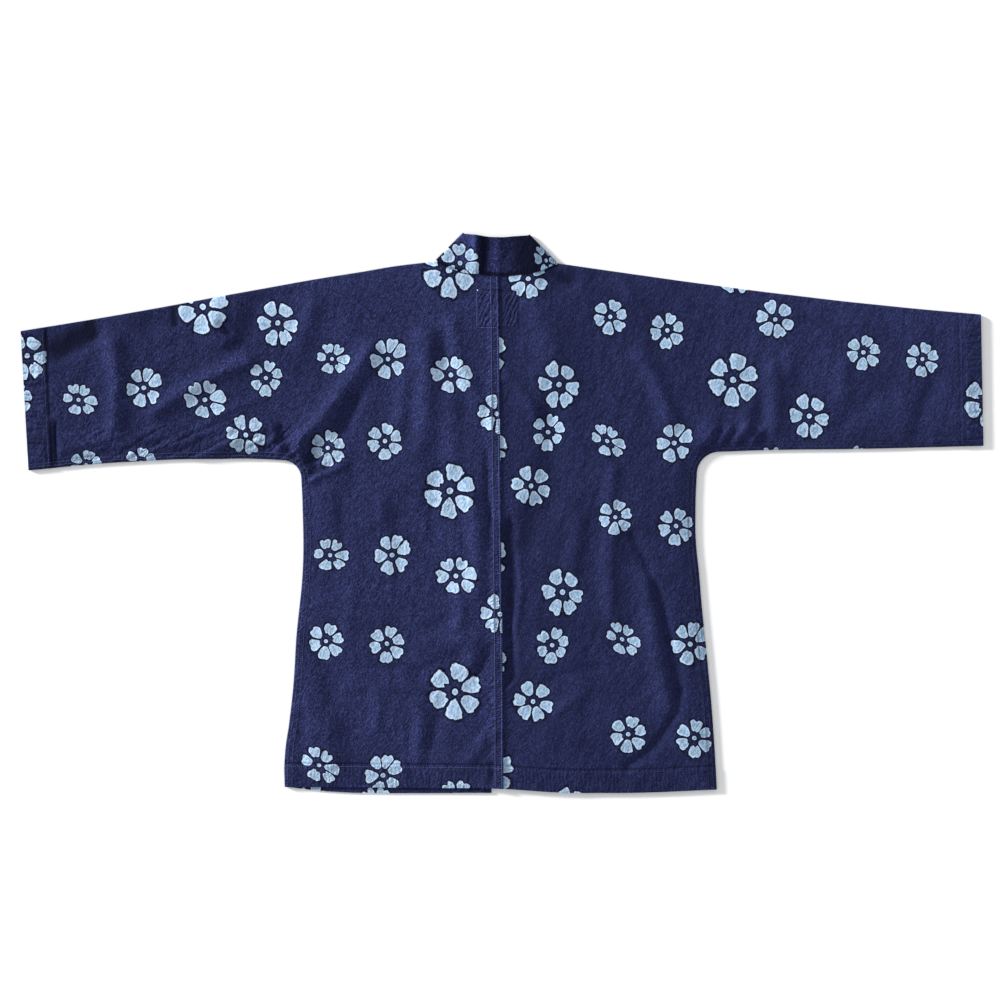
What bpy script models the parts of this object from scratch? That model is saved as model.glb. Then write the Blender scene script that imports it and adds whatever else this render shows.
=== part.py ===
"""A haori jacket laid flat with its back up and its collar towards +Y, in metres with +Z up.

Each half is one cloth: back, sleeve and front in one piece, folded over the shoulder and the top of the sleeve
and closed along the side and the underarm. The left half laps over the right one down the middle of the back.
The collar is a doubled band that stands above the neck seam, folds over at both neck sides and runs down the
front edges underneath. Sizes are in millimetres until the meshes are made.
"""

from collections import Counter
from math import cos, exp, hypot, pi, radians, sin
from types import SimpleNamespace

import bmesh
import bpy
import numpy as np

MM = 0.001

# Cloth
CLOTH = 1.2  # one layer
BAND = 2.4  # the collar, doubled
GAP = 0.3  # between pieces at a seam
TURN = 0.7  # how much the turned hem and cuffs stand out
LAP = CLOTH + GAP + 0.1  # how much the left half rises where it lies on the right one
LAP_WIDTH = 12.0
LAP_SLOPE = 6.0  # width over which the lap comes down again

# Lie of the layers
SIDE_TOP = 3.5  # top of the back layer at the side, the underarm and the fold
BAND_TOP = 4.2  # the same where the collar's bands lie underneath
BAND_REACH = 100.0  # how far from the middle the bands reach
BAND_SLOPE = 35.0
PUFF = 1.0  # how much higher the back layer lies away from its edges
PUFF_WIDTH = 45.0
ROLL = 2.0  # how far the back and front layers curve into each other at a fold or a closed seam
ROLL_STEPS = 4

# Widths of the turned edges
HEM_WIDTH = 32.0
CUFF_WIDTH = 31.0
TURN_SLOPE = 2.0

# The middle of the back: height up the jacket, place of the left half's edge
MIDDLE = [(-392.0, 2.1), (-200.0, 0.6), (-30.0, -1.7), (160.0, -3.4), (340.0, -5.4)]
# The back hem from left to right: place, height
BACK_HEM = [
    (-308.8, -389.2),
    (-87.7, -390.6),
    (0.0, -391.8),
    (82.3, -397.0),
    (139.3, -397.7),
    (305.2, -392.9),
]
# The seam between back and collar from left to right: place, height
NECK = [
    (-88.9, 354.4),
    (-64.5, 343.6),
    (-33.2, 338.8),
    (-8.0, 336.6),
    (27.8, 337.9),
    (45.5, 340.6),
    (74.5, 352.6),
]

SHARP_ANGLE = radians(50)  # faces that meet more sharply keep a crease between them
ROUGHNESS = 0.85
INDIGO = (0.022, 0.026, 0.085, 1.0)

# One half each. Places are distances from the middle, so both halves are written alike.
LEFT = SimpleNamespace(
    name="left_half",
    colour=INDIGO,
    side=-1,
    lies_under=False,
    # The fold over shoulder and sleeve, from the neck to the cuff: place, height
    fold=[(94.4, 357.0), (116.4, 354.8), (201.6, 342.1), (343.6, 317.9), (514.0, 286.7), (683.7, 258.3)],
    # The underarm, from the armpit to the cuff: place, height
    underarm=[(312.0, 75.0), (343.6, 76.6), (400.4, 76.6), (514.0, 73.4), (672.4, 60.4)],
    # The side, from the hem to the armpit: height, place
    side_edge=[
        (-389.2, 308.8),
        (-345.0, 308.5),
        (-299.7, 302.5),
        (-180.5, 292.5),
        (7.0, 283.3),
        (48.0, 285.0),
    ],
    armpit=27.0,  # its radius
    # The front hem, from the front edge to the side: place, height
    front_hem=[(69.7, -398.1), (125.0, -398.2), (180.7, -398.0), (229.7, -396.8), (308.8, -389.2)],
    front_edge=69.7,  # where the front's edge ends at the hem
)
RIGHT = SimpleNamespace(
    name="right_half",
    colour=INDIGO,
    side=1,
    lies_under=True,
    fold=[(78.6, 354.6), (196.0, 337.8), (309.6, 322.2), (423.2, 308.0), (536.8, 295.3), (680.2, 281.9)],
    underarm=[(308.8, 86.8), (366.4, 88.9), (480.0, 90.5), (683.7, 95.3)],
    side_edge=[
        (-392.9, 305.2),
        (-316.8, 300.8),
        (-214.6, 292.2),
        (-95.3, 280.8),
        (7.0, 274.9),
        (54.8, 276.8),
    ],
    armpit=32.0,
    front_hem=[(68.2, -391.0), (180.0, -392.0), (305.2, -392.9)],
    front_edge=68.2,
)
ARMPIT_ROW = 66.0  # height, at the middle of the back, of the row that meets the armpits

# Columns and rows of each half
COLUMNS_TO_NECK = 6
COLUMNS_TO_SIDE = 13
COLUMNS_OF_SLEEVE = 17
ROWS_OF_SIDE = 14
ROWS_OF_SLEEVE = 12
ARMPIT_STEPS = 2  # on each side of its middle
TURNED_STEPS = 2  # columns or rows on the turned cuff or hem
LAPPED_COLUMNS = 2  # where the halves lie on each other

# The largest folds of the back, from one end to the other.
# Columns: place and height of one end, place and height of the other, half width, rise
FOLDS = [
    (-557, 236, -557, 104, 14, 1.3),
    (-496, 149, -365, 221, 11, 1.0),
    (-442, 77, -341, 153, 10, 0.9),
    (-301, 92, -192, 257, 14, 1.7),
    (-270, 125, -268, 82, 14, -0.9),
    (-145, 182, -124, 118, 13, 0.9),
    (-70, 258, -38, 163, 12, 0.9),
    (-61, 163, -61, 81, 11, -0.4),
    (-38, 18, -17, -109, 12, 1.0),
    (-65, -111, -65, -180, 12, 0.8),
    (-102, -202, -62, -180, 11, -0.4),
    (-129, -276, -119, -342, 12, 1.0),
    (-183, -251, -183, -301, 13, 0.7),
    (-270, -198, -216, -355, 18, -0.6),
    (14, -24, 15, -223, 10, -0.5),
    (68, 132, 68, 18, 15, -0.5),
    (40, 302, 61, 217, 16, 0.8),
    (192, 217, 236, 121, 13, 1.1),
    (102, -17, 91, -71, 13, 0.8),
    (149, 54, 151, -145, 12, 0.9),
    (203, -98, 230, -276, 13, 1.0),
    (224, -124, 243, -251, 10, -0.6),
    (247, -266, 182, -358, 12, -0.6),
    (281, 126, 271, 96, 10, 1.0),
    (379, 206, 379, 121, 11, 0.9),
    (480, 214, 480, 167, 12, 0.8),
    (608, 180, 586, 103, 14, -0.5),
]

# The collar. Corners are place and height.
COLLAR_FOLDS = {
    -1: ((-55.4, 398.2), (-93.7, 359.8)),  # the left slanting fold: its free end, its neck end
    1: ((39.0, 395.8), (77.5, 357.0)),
}
# The free edge between the folds: place, height
COLLAR_TOP = [(-53.5, 396.4), (-30.0, 393.6), (-7.1, 391.3), (16.0, 392.6), (37.2, 394.0)]
# Where each band's free edge ends at the hem: its distance from the middle, height
BAND_ENDS = {-1: (14.9, -397.7), 1: (13.5, -391.0)}
COLLAR_ROLL = 2.6
COLLAR_HEIGHT = 5.4  # top of the standing part above the surface
# How the standing collar waves along its length: place along it from 0 to 1, rise
COLLAR_WAVE = [(0.0, 0.0), (0.18, 1.7), (0.33, 0.5), (0.52, 1.3), (0.75, 0.3), (1.0, 0.0)]
SEAM_SHARE = 0.4  # how much of the wave reaches the seam
COLLAR_STRIPS = 4
BAND_ROWS = 5
JOIN_DROP = 18.0  # how far below the neck end a band comes close to the front's edge
DARKER_INDIGO = (0.018, 0.022, 0.075, 1.0)


def curve(rows):
    """A smooth function through rows of place and value."""
    at, value = np.array(sorted(rows), float).T
    slope = np.gradient(value, at)

    def read(where):
        where = min(max(where, at[0]), at[-1])
        n = min(max(int(np.searchsorted(at, where)) - 1, 0), len(at) - 2)
        step = at[n + 1] - at[n]
        u = (where - at[n]) / step
        start = value[n] + (where - at[n]) * slope[n]
        end = value[n + 1] + (where - at[n + 1]) * slope[n + 1]
        ease = u * u * (3 - 2 * u)
        return start * (1 - ease) + end * ease

    return read


def eased(value):
    """0 below 0, 1 above 1 and smooth between."""
    value = min(max(value, 0.0), 1.0)
    return value * value * (3 - 2 * value)


middle = curve(MIDDLE)
back_hem = curve(BACK_HEM)
neck = curve(NECK)
collar_wave = curve(COLLAR_WAVE)
collar_top = curve(COLLAR_TOP)


def slope_of(function, where):
    """Rise to the millimetre, over the millimetre around a place."""
    return function(where + 0.5) - function(where - 0.5)


def shares(values):
    """Where each value lies between the first (0) and the last (1)."""
    values = np.array(values, float)
    return (values - values[0]) / (values[-1] - values[0])


def steps(first, last, count):
    """Evenly spaced values after first, up to last."""
    return list(np.linspace(first, last, count + 1)[1:])


def between(first, last, share):
    """Points on the straight line from first to last, one for each share."""
    first, last = np.array(first, float), np.array(last, float)
    return first + np.array(share)[:, None] * (last - first)


def filled(bottom, top, start, end, across, up):
    """Points between four edges, as [column, row]. across and up say where the columns and rows lie."""
    bottom, top, start, end = (np.array(edge, float) for edge in (bottom, top, start, end))
    s = np.array(across)[:, None, None]
    t = np.array(up)[None, :, None]
    ruled = (1 - t) * bottom[:, None] + t * top[:, None] + (1 - s) * start[None] + s * end[None]
    lower = (1 - s) * bottom[0] + s * bottom[-1]
    upper = (1 - s) * top[0] + s * top[-1]
    return ruled - (1 - t) * lower - t * upper


def fold_rise(x, y):
    """How much the folds lift or sink the cloth at a point."""
    rise = 0.0
    for x0, y0, x1, y1, half_width, height in FOLDS:
        along = ((x - x0) * (x1 - x0) + (y - y0) * (y1 - y0)) / hypot(x1 - x0, y1 - y0) ** 2
        along = min(max(along, 0.0), 1.0)
        away = hypot(x - x0 - along * (x1 - x0), y - y0 - along * (y1 - y0))
        rise += height * exp(-((away / half_width) ** 2))
    return rise


class Edge:
    """Places along a fold or a closed seam, the way out of the cloth at each, and the grid's points inside it."""

    def __init__(self, places, ways_out):
        self.places = np.array(places, float)
        self.ways_out = np.array(ways_out, float)
        self.ways_out /= np.linalg.norm(self.ways_out, axis=1)[:, None]
        self.inside = self.places - ROLL * self.ways_out


class Outline:
    """The outline of one half, in places measured away from the middle of the back."""

    def __init__(self, half):
        self.side = half.side
        self.lies_under = half.lies_under
        self.fold = curve(half.fold)
        self.underarm = curve(half.underarm)
        self.side_edge = curve(half.side_edge)
        self.front_hem = curve(half.front_hem)
        self.radius = half.armpit
        self.armpit = np.array((half.underarm[0][0], half.side_edge[-1][0]))
        self.neck_side = half.fold[0][0]
        self.cuff_top = half.fold[-1][0]
        self.cuff_bottom = half.underarm[-1][0]
        self.hem_corner = half.side_edge[0][0]
        self.front_end = np.array((half.front_edge, self.front_hem(half.front_edge)))
        self.neck_corner = self.fold_edge([self.neck_side]).inside[0]

    def start(self, up):
        """Where the half's edge runs at the middle of the back."""
        return self.side * middle(up) - LAP_WIDTH * self.lies_under

    def front_edge(self, up):
        """Where the front's edge runs. It is straight from the neck side to the hem."""
        share = (self.neck_corner[1] - up) / (self.neck_corner[1] - self.front_end[1])
        return self.neck_corner[0] + share * (self.front_end[0] - self.neck_corner[0])

    def fold_edge(self, outs):
        """The fold over shoulder and sleeve."""
        return Edge(
            [(out, self.fold(out)) for out in outs],
            [(-slope_of(self.fold, out), 1.0) for out in outs],
        )

    def closed_edge(self):
        """The side, the armpit and the underarm, and the number of the armpit's middle among its places."""
        hem_turned = self.hem_corner + HEM_WIDTH
        heights = [self.hem_corner, hem_turned, hem_turned + TURN_SLOPE]
        heights += steps(heights[-1], self.armpit[1], ROWS_OF_SIDE)
        places = [(self.side_edge(up), up) for up in heights]
        ways_out = [(1.0, -slope_of(self.side_edge, up)) for up in heights]
        for angle in steps(0.0, pi / 2, 2 * ARMPIT_STEPS):
            way = np.array((cos(angle), -sin(angle)))
            places.append(self.armpit - self.radius * way)
            ways_out.append(way)
        cuff_turned = self.cuff_bottom - CUFF_WIDTH
        outs = steps(self.armpit[0], cuff_turned - TURN_SLOPE, COLUMNS_OF_SLEEVE)
        outs += [cuff_turned, self.cuff_bottom]
        places += [(out, self.underarm(out)) for out in outs]
        ways_out += [(slope_of(self.underarm, out), -1.0) for out in outs]
        return Edge(places, ways_out), len(heights) - 1 + ARMPIT_STEPS

    def edge_distance(self, out, up):
        """Roughly how far a point of the back lies from the nearest closed edge, cuff or hem."""
        if up <= self.armpit[1]:
            beside = self.side_edge(up) - out
        elif out >= self.armpit[0]:
            beside = up - self.underarm(out)
        else:
            beside = hypot(*(self.armpit - (out, up))) - self.radius
        above = self.fold(out) - up if out > self.neck_side else PUFF_WIDTH
        below = up - back_hem(self.side * out)
        return min(beside, above, below, self.cuff_bottom - out)

    def back_height(self, out, up):
        """How high the back layer's upper side lies, before turned edges and the lap."""
        over_band = eased((BAND_REACH + BAND_SLOPE - out) / BAND_SLOPE)
        lowest = SIDE_TOP + (BAND_TOP - SIDE_TOP) * over_band
        lifted = eased(self.edge_distance(out, up) / PUFF_WIDTH)
        return lowest + max(PUFF + fold_rise(self.side * out, up), 0.0) * lifted


def half_grids(outline):
    """The back's and the front's points seen from above, as [column, row], with nan beyond the armpit."""
    closed, armpit_row = outline.closed_edge()
    side = closed.inside[: armpit_row + 1]
    underarm = closed.inside[armpit_row:]
    up_low = shares(side[:, 1])
    up_high = shares(range(ROWS_OF_SLEEVE + 1))

    # The body's columns, from the middle of the back (0) to the armpit (1)
    start = outline.start(neck(0.0))
    width = side[-1][0] - start
    lap_end = (LAP_WIDTH + LAP_SLOPE) / width
    to_neck = (outline.neck_corner[0] - start) / width
    across = [0.0, LAP_WIDTH / width, lap_end] + steps(lap_end, to_neck, COLUMNS_TO_NECK)
    neck_column = len(across) - 1
    across = np.array(across + steps(to_neck, 1.0, COLUMNS_TO_SIDE))
    side_column = len(across) - 1

    # The fold over shoulder and sleeve
    body_outs = start + across[neck_column:] * width
    body_outs[0] = outline.neck_side
    sleeve_across = shares(closed.places[armpit_row:, 0])
    sleeve_outs = body_outs[-1] + sleeve_across * (outline.cuff_top - body_outs[-1])
    fold = outline.fold_edge([*body_outs, *sleeve_outs[1:]])
    shoulder = fold.inside[: len(body_outs)]
    sleeve_fold = fold.inside[len(body_outs) - 1 :]

    above_armpit = between(side[-1], shoulder[-1], up_high)
    cuff = between(underarm[-1], sleeve_fold[-1], up_high)
    sleeve = filled(underarm, sleeve_fold, above_armpit, cuff, sleeve_across, up_high)

    def whole(hem, row, top, seam, columns):
        """The body's lower and upper blocks and the sleeve as one array. seam gives the body's inner edge."""
        low_edge = [(seam(up), up) for up in hem[0][1] + up_low * (row[0][1] - hem[0][1])]
        high_edge = [(seam(up), up) for up in row[0][1] + up_high * (top[0][1] - row[0][1])]
        low = filled(hem, row, low_edge, side, columns, up_low)
        high = filled(row, top, high_edge, above_armpit, columns, up_high)
        empty = np.full((len(sleeve) - 1, len(up_low) - 1, 2), np.nan)
        beyond = np.concatenate([empty, sleeve[1:]], axis=1)
        return np.concatenate([np.concatenate([low, high[:, 1:]], axis=1), beyond])

    hem_start = outline.start(outline.hem_corner)
    hem = [(out, back_hem(outline.side * out)) for out in hem_start + across * (side[0][0] - hem_start)]
    armpit_level = between((outline.start(ARMPIT_ROW), ARMPIT_ROW), side[-1], across)
    neck_outs = start + across[:neck_column] * width
    neckline = [(out, neck(outline.side * out) - GAP / 2) for out in neck_outs]
    back = whole(hem, armpit_level, neckline + list(shoulder), outline.start, across)

    front_across = shares(across[neck_column:])
    front_outs = outline.front_end[0] + front_across * (side[0][0] - outline.front_end[0])
    front_hem = [(out, outline.front_hem(out)) for out in front_outs]
    front_level = between((outline.front_edge(ARMPIT_ROW), ARMPIT_ROW), side[-1], front_across)
    front = whole(front_hem, front_level, shoulder, outline.front_edge, front_across)
    return SimpleNamespace(
        back=back,
        front=front,
        fold=fold,
        closed=closed,
        armpit_row=armpit_row,
        neck_column=neck_column,
        side_column=side_column,
        neckline=neckline,
    )


class Net:
    """Points of a cloth, each with an outer and an inner place, and the quads between them."""

    def __init__(self, side=1):
        self.side = side
        self.outer = []
        self.inner = []
        self.quads = []

    def point(self, outer, inner):
        self.outer.append(outer)
        self.inner.append(inner)
        return len(self.outer) - 1

    def join(self, first, second):
        """Quads between two rows of points."""
        self.quads += zip(first, first[1:], second[1:], second)

    def layer(self, places, heights):
        """A grid of points with quads. heights gives a point's outer and inner height."""
        numbers = np.full(places.shape[:2], -1)
        for column, row in np.ndindex(numbers.shape):
            out, up = places[column, row]
            if not np.isnan(out):
                outer, inner = heights(column, row, out, up)
                numbers[column, row] = self.point((out, up, outer), (out, up, inner))
        for first, second in zip(numbers, numbers[1:]):
            both = (first >= 0) & (second >= 0)
            self.join(first[both].tolist(), second[both].tolist())
        return numbers

    def roll(self, upper, lower, ways_out, reach, wall):
        """Curves the cloth from a row of the upper layer round to the same row of the lower one."""
        rows = [upper]
        for angle in steps(pi / 2, -pi / 2, ROLL_STEPS)[:-1]:
            row = []
            for above, below, way in zip(upper, lower, ways_out):
                ends = []
                for skin, radius in ((self.outer, reach), (self.inner, reach - wall)):
                    out, up, high = skin[above]
                    low = skin[below][2]
                    height = (high + low) / 2 + (high - low) / 2 * sin(angle)
                    ends.append((out + way[0] * radius * cos(angle), up + way[1] * radius * cos(angle), height))
                row.append(self.point(*ends))
            rows.append(row)
        rows.append(lower)
        for first, second in zip(rows, rows[1:]):
            self.join(first, second)

    def solid(self, name, colour):
        """Both skins of the cloth and a rim along each open edge, as one closed object."""
        work = bmesh.new()
        outer, inner = (
            [work.verts.new((self.side * x * MM, y * MM, z * MM)) for x, y, z in skin]
            for skin in (self.outer, self.inner)
        )
        quads_at = Counter()
        for quad in self.quads:
            work.faces.new([outer[n] for n in quad])
            work.faces.new([inner[n] for n in reversed(quad)])
            quads_at.update(tuple(sorted(pair)) for pair in zip(quad, quad[1:] + quad[:1]))
        for (a, b), count in quads_at.items():
            if count == 1:
                work.faces.new([outer[b], outer[a], inner[a], inner[b]])
        bmesh.ops.recalc_face_normals(work, faces=work.faces)
        mesh = bpy.data.meshes.new(name)
        work.to_mesh(mesh)
        work.free()
        mesh.shade_smooth()
        mesh.set_sharp_from_angle(angle=SHARP_ANGLE)
        mesh.materials.append(cotton(name, colour))
        bpy.context.collection.objects.link(bpy.data.objects.new(name, mesh))


def cotton(name, colour):
    material = bpy.data.materials.new(name + "_cotton")
    material.use_nodes = True
    shader = material.node_tree.nodes["Principled BSDF"]
    shader.inputs["Base Color"].default_value = colour
    shader.inputs["Roughness"].default_value = ROUGHNESS
    shader.inputs["Metallic"].default_value = 0.0
    return material


def make_half(half, outline, grids):
    net = Net(half.side)
    last_column = len(grids.back) - 1
    shift = grids.neck_column

    def back_heights(column, row, out, up):
        lapped = column < LAPPED_COLUMNS
        in_hem = row < TURNED_STEPS and not (lapped and half.lies_under)
        turned = in_hem or column > last_column - TURNED_STEPS
        top = outline.back_height(out, up) + LAP * (lapped and not half.lies_under)
        return top + TURN * turned, top - CLOTH

    def front_heights(column, row, out, up):
        turned = row < TURNED_STEPS or column + shift > last_column - TURNED_STEPS
        return 0.0, CLOTH + TURN * turned

    back = net.layer(grids.back, back_heights)
    front = net.layer(grids.front, front_heights)
    top = back[shift:, -1].tolist(), front[:, -1].tolist()
    net.roll(*top, grids.fold.ways_out, ROLL, CLOTH)
    side, armpit = grids.side_column, grids.armpit_row
    closed = [
        layer[column, : armpit + 1].tolist() + layer[column + 1 :, armpit].tolist()
        for layer, column in ((back, side), (front, side - shift))
    ]
    net.roll(*closed, grids.closed.ways_out, ROLL, CLOTH)
    net.solid(half.name, half.colour)


def fold_line(side):
    """A slanting fold of the collar: its ends inside the curve, at the seam and free, and the way out."""
    free_end, seam_end = (np.array(place) for place in COLLAR_FOLDS[side])
    along = (free_end - seam_end) / np.linalg.norm(free_end - seam_end)
    way = np.array((-along[1], along[0])) * -side
    return seam_end - COLLAR_ROLL * way, free_end - COLLAR_ROLL * way, way


def standing_part(grids):
    """Rows of the standing collar from the left fold to the right one: seam end, free end, place along it."""
    seam_ends = []
    for side, hidden in ((-1, 0), (1, LAPPED_COLUMNS)):
        row = [(side * out, up + GAP) for out, up in grids[side].neckline[hidden:]]
        seam_ends += row[::-1] if side < 0 else row
    (left_seam, left_free, _), (right_seam, right_free, _) = fold_line(-1), fold_line(1)
    rows = []
    for place in [left_seam, *seam_ends, right_seam]:
        share = (place[0] - left_seam[0]) / (right_seam[0] - left_seam[0])
        x = left_free[0] + share * (right_free[0] - left_free[0])
        rows.append((place, (x, collar_top(x)), share))
    rows[0] = (left_seam, left_free, 0.0)
    rows[-1] = (right_seam, right_free, 1.0)
    return rows


def band_part(side, outline):
    """Rows of a band under the front's edge, from the slanting fold to the hem: seam end and free end."""
    seam_end, free_end, _ = fold_line(side)
    free_hem, hem = BAND_ENDS[side]
    first = seam_end[1] - JOIN_DROP
    ups = [first] + steps(first, hem, BAND_ROWS)
    rows = [(seam_end, free_end)]
    for up in ups:
        share = (seam_end[1] - up) / (seam_end[1] - hem)
        seam = side * (outline.front_edge(up) - GAP), up
        free = free_end + share * (np.array((side * free_hem, hem)) - free_end)
        rows.append((seam, free))
    return rows


def make_collar(outlines, grids):
    net = Net()
    strip = np.linspace(0.0, 1.0, COLLAR_STRIPS + 1)

    def row_of(seam_end, free_end, outer, inner):
        """A row of points from the seam to the free edge. outer and inner are heights, one for each point."""
        flat = between(seam_end, free_end, strip)
        return [net.point((*place, high), (*place, low)) for place, high, low in zip(flat, outer, inner)]

    def joined(rows):
        for first, second in zip(rows, rows[1:]):
            net.join(first, second)
        return rows

    under = {}
    for side in (-1, 1):
        flat_low, flat_high = np.zeros(len(strip)), np.full(len(strip), BAND)
        under[side] = joined([row_of(*ends, flat_low, flat_high) for ends in band_part(side, outlines[side])])
    standing = []
    for seam_end, free_end, share in standing_part(grids):
        high = COLLAR_HEIGHT + collar_wave(share) * (SEAM_SHARE + (1 - SEAM_SHARE) * strip)
        standing.append(row_of(seam_end, free_end, high, high - BAND))
    joined(standing)
    for side, row in ((-1, standing[0]), (1, standing[-1])):
        way = fold_line(side)[2]
        net.roll(row, under[side][0], [way] * len(strip), COLLAR_ROLL, BAND)
    net.solid("collar", DARKER_INDIGO)


def main():
    for thing in list(bpy.data.objects):
        bpy.data.objects.remove(thing)
    outlines = {half.side: Outline(half) for half in (LEFT, RIGHT)}
    grids = {side: half_grids(outline) for side, outline in outlines.items()}
    for half in (LEFT, RIGHT):
        make_half(half, outlines[half.side], grids[half.side])
    make_collar(outlines, grids)


main()
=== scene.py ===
"""A haori jacket laid flat with its back up: resist-printed indigo cotton, its folds, seams and stitches.

Lengths are in millimetres until the meshes are made. Places in the chart tables (print, folds, label) are in
chart units across and down from the chart's top left corner; CHART turns them into the jacket's own places.
"""

from functools import partial
from math import cos, pi, radians, sin
from types import SimpleNamespace

import bpy
import numpy as np
from mathutils import Euler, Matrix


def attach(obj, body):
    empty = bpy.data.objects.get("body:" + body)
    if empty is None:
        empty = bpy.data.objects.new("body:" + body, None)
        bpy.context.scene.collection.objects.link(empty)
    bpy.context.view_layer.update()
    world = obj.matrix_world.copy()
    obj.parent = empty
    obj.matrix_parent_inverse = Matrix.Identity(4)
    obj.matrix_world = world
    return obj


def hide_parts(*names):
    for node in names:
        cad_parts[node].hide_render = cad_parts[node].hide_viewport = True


MM = 0.001

# Cloth and lie of the layers, as in the solids
CLOTH = 1.2
BAND = 2.4
GAP = 0.3
TURN = 0.7
LAP_SPARE = 0.1
LAP = CLOTH + GAP + LAP_SPARE
LAP_WIDTH = 12.0
LAP_SLOPE = 6.0
SIDE_TOP = 3.5
BAND_TOP = 4.2
BAND_REACH = 100.0
BAND_SLOPE = 35.0
PUFF = 4.0  # higher than the solid's, so that the folds have room to sink
PUFF_WIDTH = 40.0
PUFF_AT_EDGE = 0.15  # how far up the puff has already come at an edge, before it is eased
FOLD_WIDTH = 18.0
FOLD_AT_EDGE = 0.3  # the same for the folds, which fade towards an edge
ROLL = 2.0
ROLL_STEPS = 4
HEM_WIDTH = 32.0
CUFF_WIDTH = 31.0
TURN_SLOPE = 2.0

# Outlines, as in the solids
MIDDLE = [(-392.0, 2.1), (-200.0, 0.6), (-30.0, -1.7), (160.0, -3.4), (340.0, -5.4)]
BACK_HEM = [
    (-308.8, -389.2),
    (-87.7, -390.6),
    (0.0, -391.8),
    (82.3, -397.0),
    (139.3, -397.7),
    (305.2, -392.9),
]
NECK = [
    (-88.9, 354.4),
    (-64.5, 343.6),
    (-33.2, 338.8),
    (-8.0, 336.6),
    (27.8, 337.9),
    (45.5, 340.6),
    (74.5, 352.6),
]
LEFT = SimpleNamespace(
    name="left_half",
    side=-1,
    lies_under=False,
    sleeve_tone=-3.0,
    fold=[(94.4, 357.0), (116.4, 354.8), (201.6, 342.1), (343.6, 317.9), (514.0, 286.7), (683.7, 258.3)],
    underarm=[(312.0, 75.0), (343.6, 76.6), (400.4, 76.6), (514.0, 73.4), (672.4, 60.4)],
    side_edge=[
        (-389.2, 308.8),
        (-345.0, 308.5),
        (-299.7, 302.5),
        (-180.5, 292.5),
        (7.0, 283.3),
        (48.0, 285.0),
    ],
    armpit=27.0,
    front_hem=[(69.7, -398.1), (125.0, -398.2), (180.7, -398.0), (229.7, -396.8), (308.8, -389.2)],
    front_edge=69.7,
)
RIGHT = SimpleNamespace(
    name="right_half",
    side=1,
    lies_under=True,
    sleeve_tone=3.5,
    fold=[(78.6, 354.6), (196.0, 337.8), (309.6, 322.2), (423.2, 308.0), (536.8, 295.3), (680.2, 281.9)],
    underarm=[(308.8, 86.8), (366.4, 88.9), (480.0, 90.5), (683.7, 95.3)],
    side_edge=[
        (-392.9, 305.2),
        (-316.8, 300.8),
        (-214.6, 292.2),
        (-95.3, 280.8),
        (7.0, 274.9),
        (54.8, 276.8),
    ],
    armpit=32.0,
    front_hem=[(68.2, -391.0), (180.0, -392.0), (305.2, -392.9)],
    front_edge=68.2,
)
ARMPIT_ROW = 66.0
COLLAR_FOLDS = {
    -1: ((-55.4, 398.2), (-93.7, 359.8)),
    1: ((39.0, 395.8), (77.5, 357.0)),
}
COLLAR_TOP = [(-53.5, 396.4), (-30.0, 393.6), (-7.1, 391.3), (16.0, 392.6), (37.2, 394.0)]
BAND_ENDS = {-1: (14.9, -397.7), 1: (13.5, -391.0)}
COLLAR_ROLL = 2.6
COLLAR_HEIGHT = 5.4
SEAM_SHARE = 0.4
JOIN_DROP = 18.0
# How the standing collar waves: place between its upper corners from 0 to 1, rise
COLLAR_WAVE = [
    (0.0, 0.4),
    (0.1, 2.6),
    (0.2, 6.2),
    (0.27, 1.8),
    (0.36, 0.8),
    (0.46, 2.2),
    (0.54, 3.0),
    (0.62, 1.6),
    (0.8, 0.6),
    (1.0, 0.0),
]
# Painted light and shade on the collar's cloth, paler where it faces the light and darker where it turns
# away, on the
# scale of a raised or a sunk fold: x on the chart, rise
COLLAR_PAINTED_LIGHT_AND_SHADE = [
    (440.0, -2.0),
    (456.0, 3.0),
    (466.0, 8.0),
    (475.0, 7.0),
    (479.5, -9.0),
    (487.5, -9.0),
    (491.5, -1.5),
    (502.0, -1.5),
    (507.0, -4.5),
    (513.0, -9.0),
    (560.0, -9.5),
]
# On the same scale, the painted shade in a seam's groove, and how pale the cloth is where the middle seam
# rubs
SEAM_PAINTED_SHADE = 14.0
SEAM_FADE = 3.0
SEAM_REACH = 4.0
# From where, and over what width, a sleeve grows paler or darker towards its cuff, by as much as its half's
# entry says
SLEEVE_TONE_START = 270.0
SLEEVE_TONE_REACH = 90.0

# Fineness of the shells' grids
HEM_ROWS = 9
ROWS_OF_SIDE = 112
ROWS_OF_SLEEVE = 72
ARMPIT_STEPS = 6
LAP_COLUMNS = 3
SLOPE_COLUMNS = 2
COLUMNS_TO_NECK = 20
COLUMNS_TO_SIDE = 53
COLUMNS_OF_SLEEVE = 90
CUFF_COLUMNS = 9
COLLAR_STRIPS = 16
STANDING_ROWS = 56
BAND_ROWS = 170
CRISP_FROM = 50.0  # an edge with a sharper turn than this, in degrees, stays crisp

# The chart: one unit in millimetres, and where the jacket's own zero lies on it
CHART = 1.42
CHART_ZERO = (502.0, 512.9)
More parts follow.
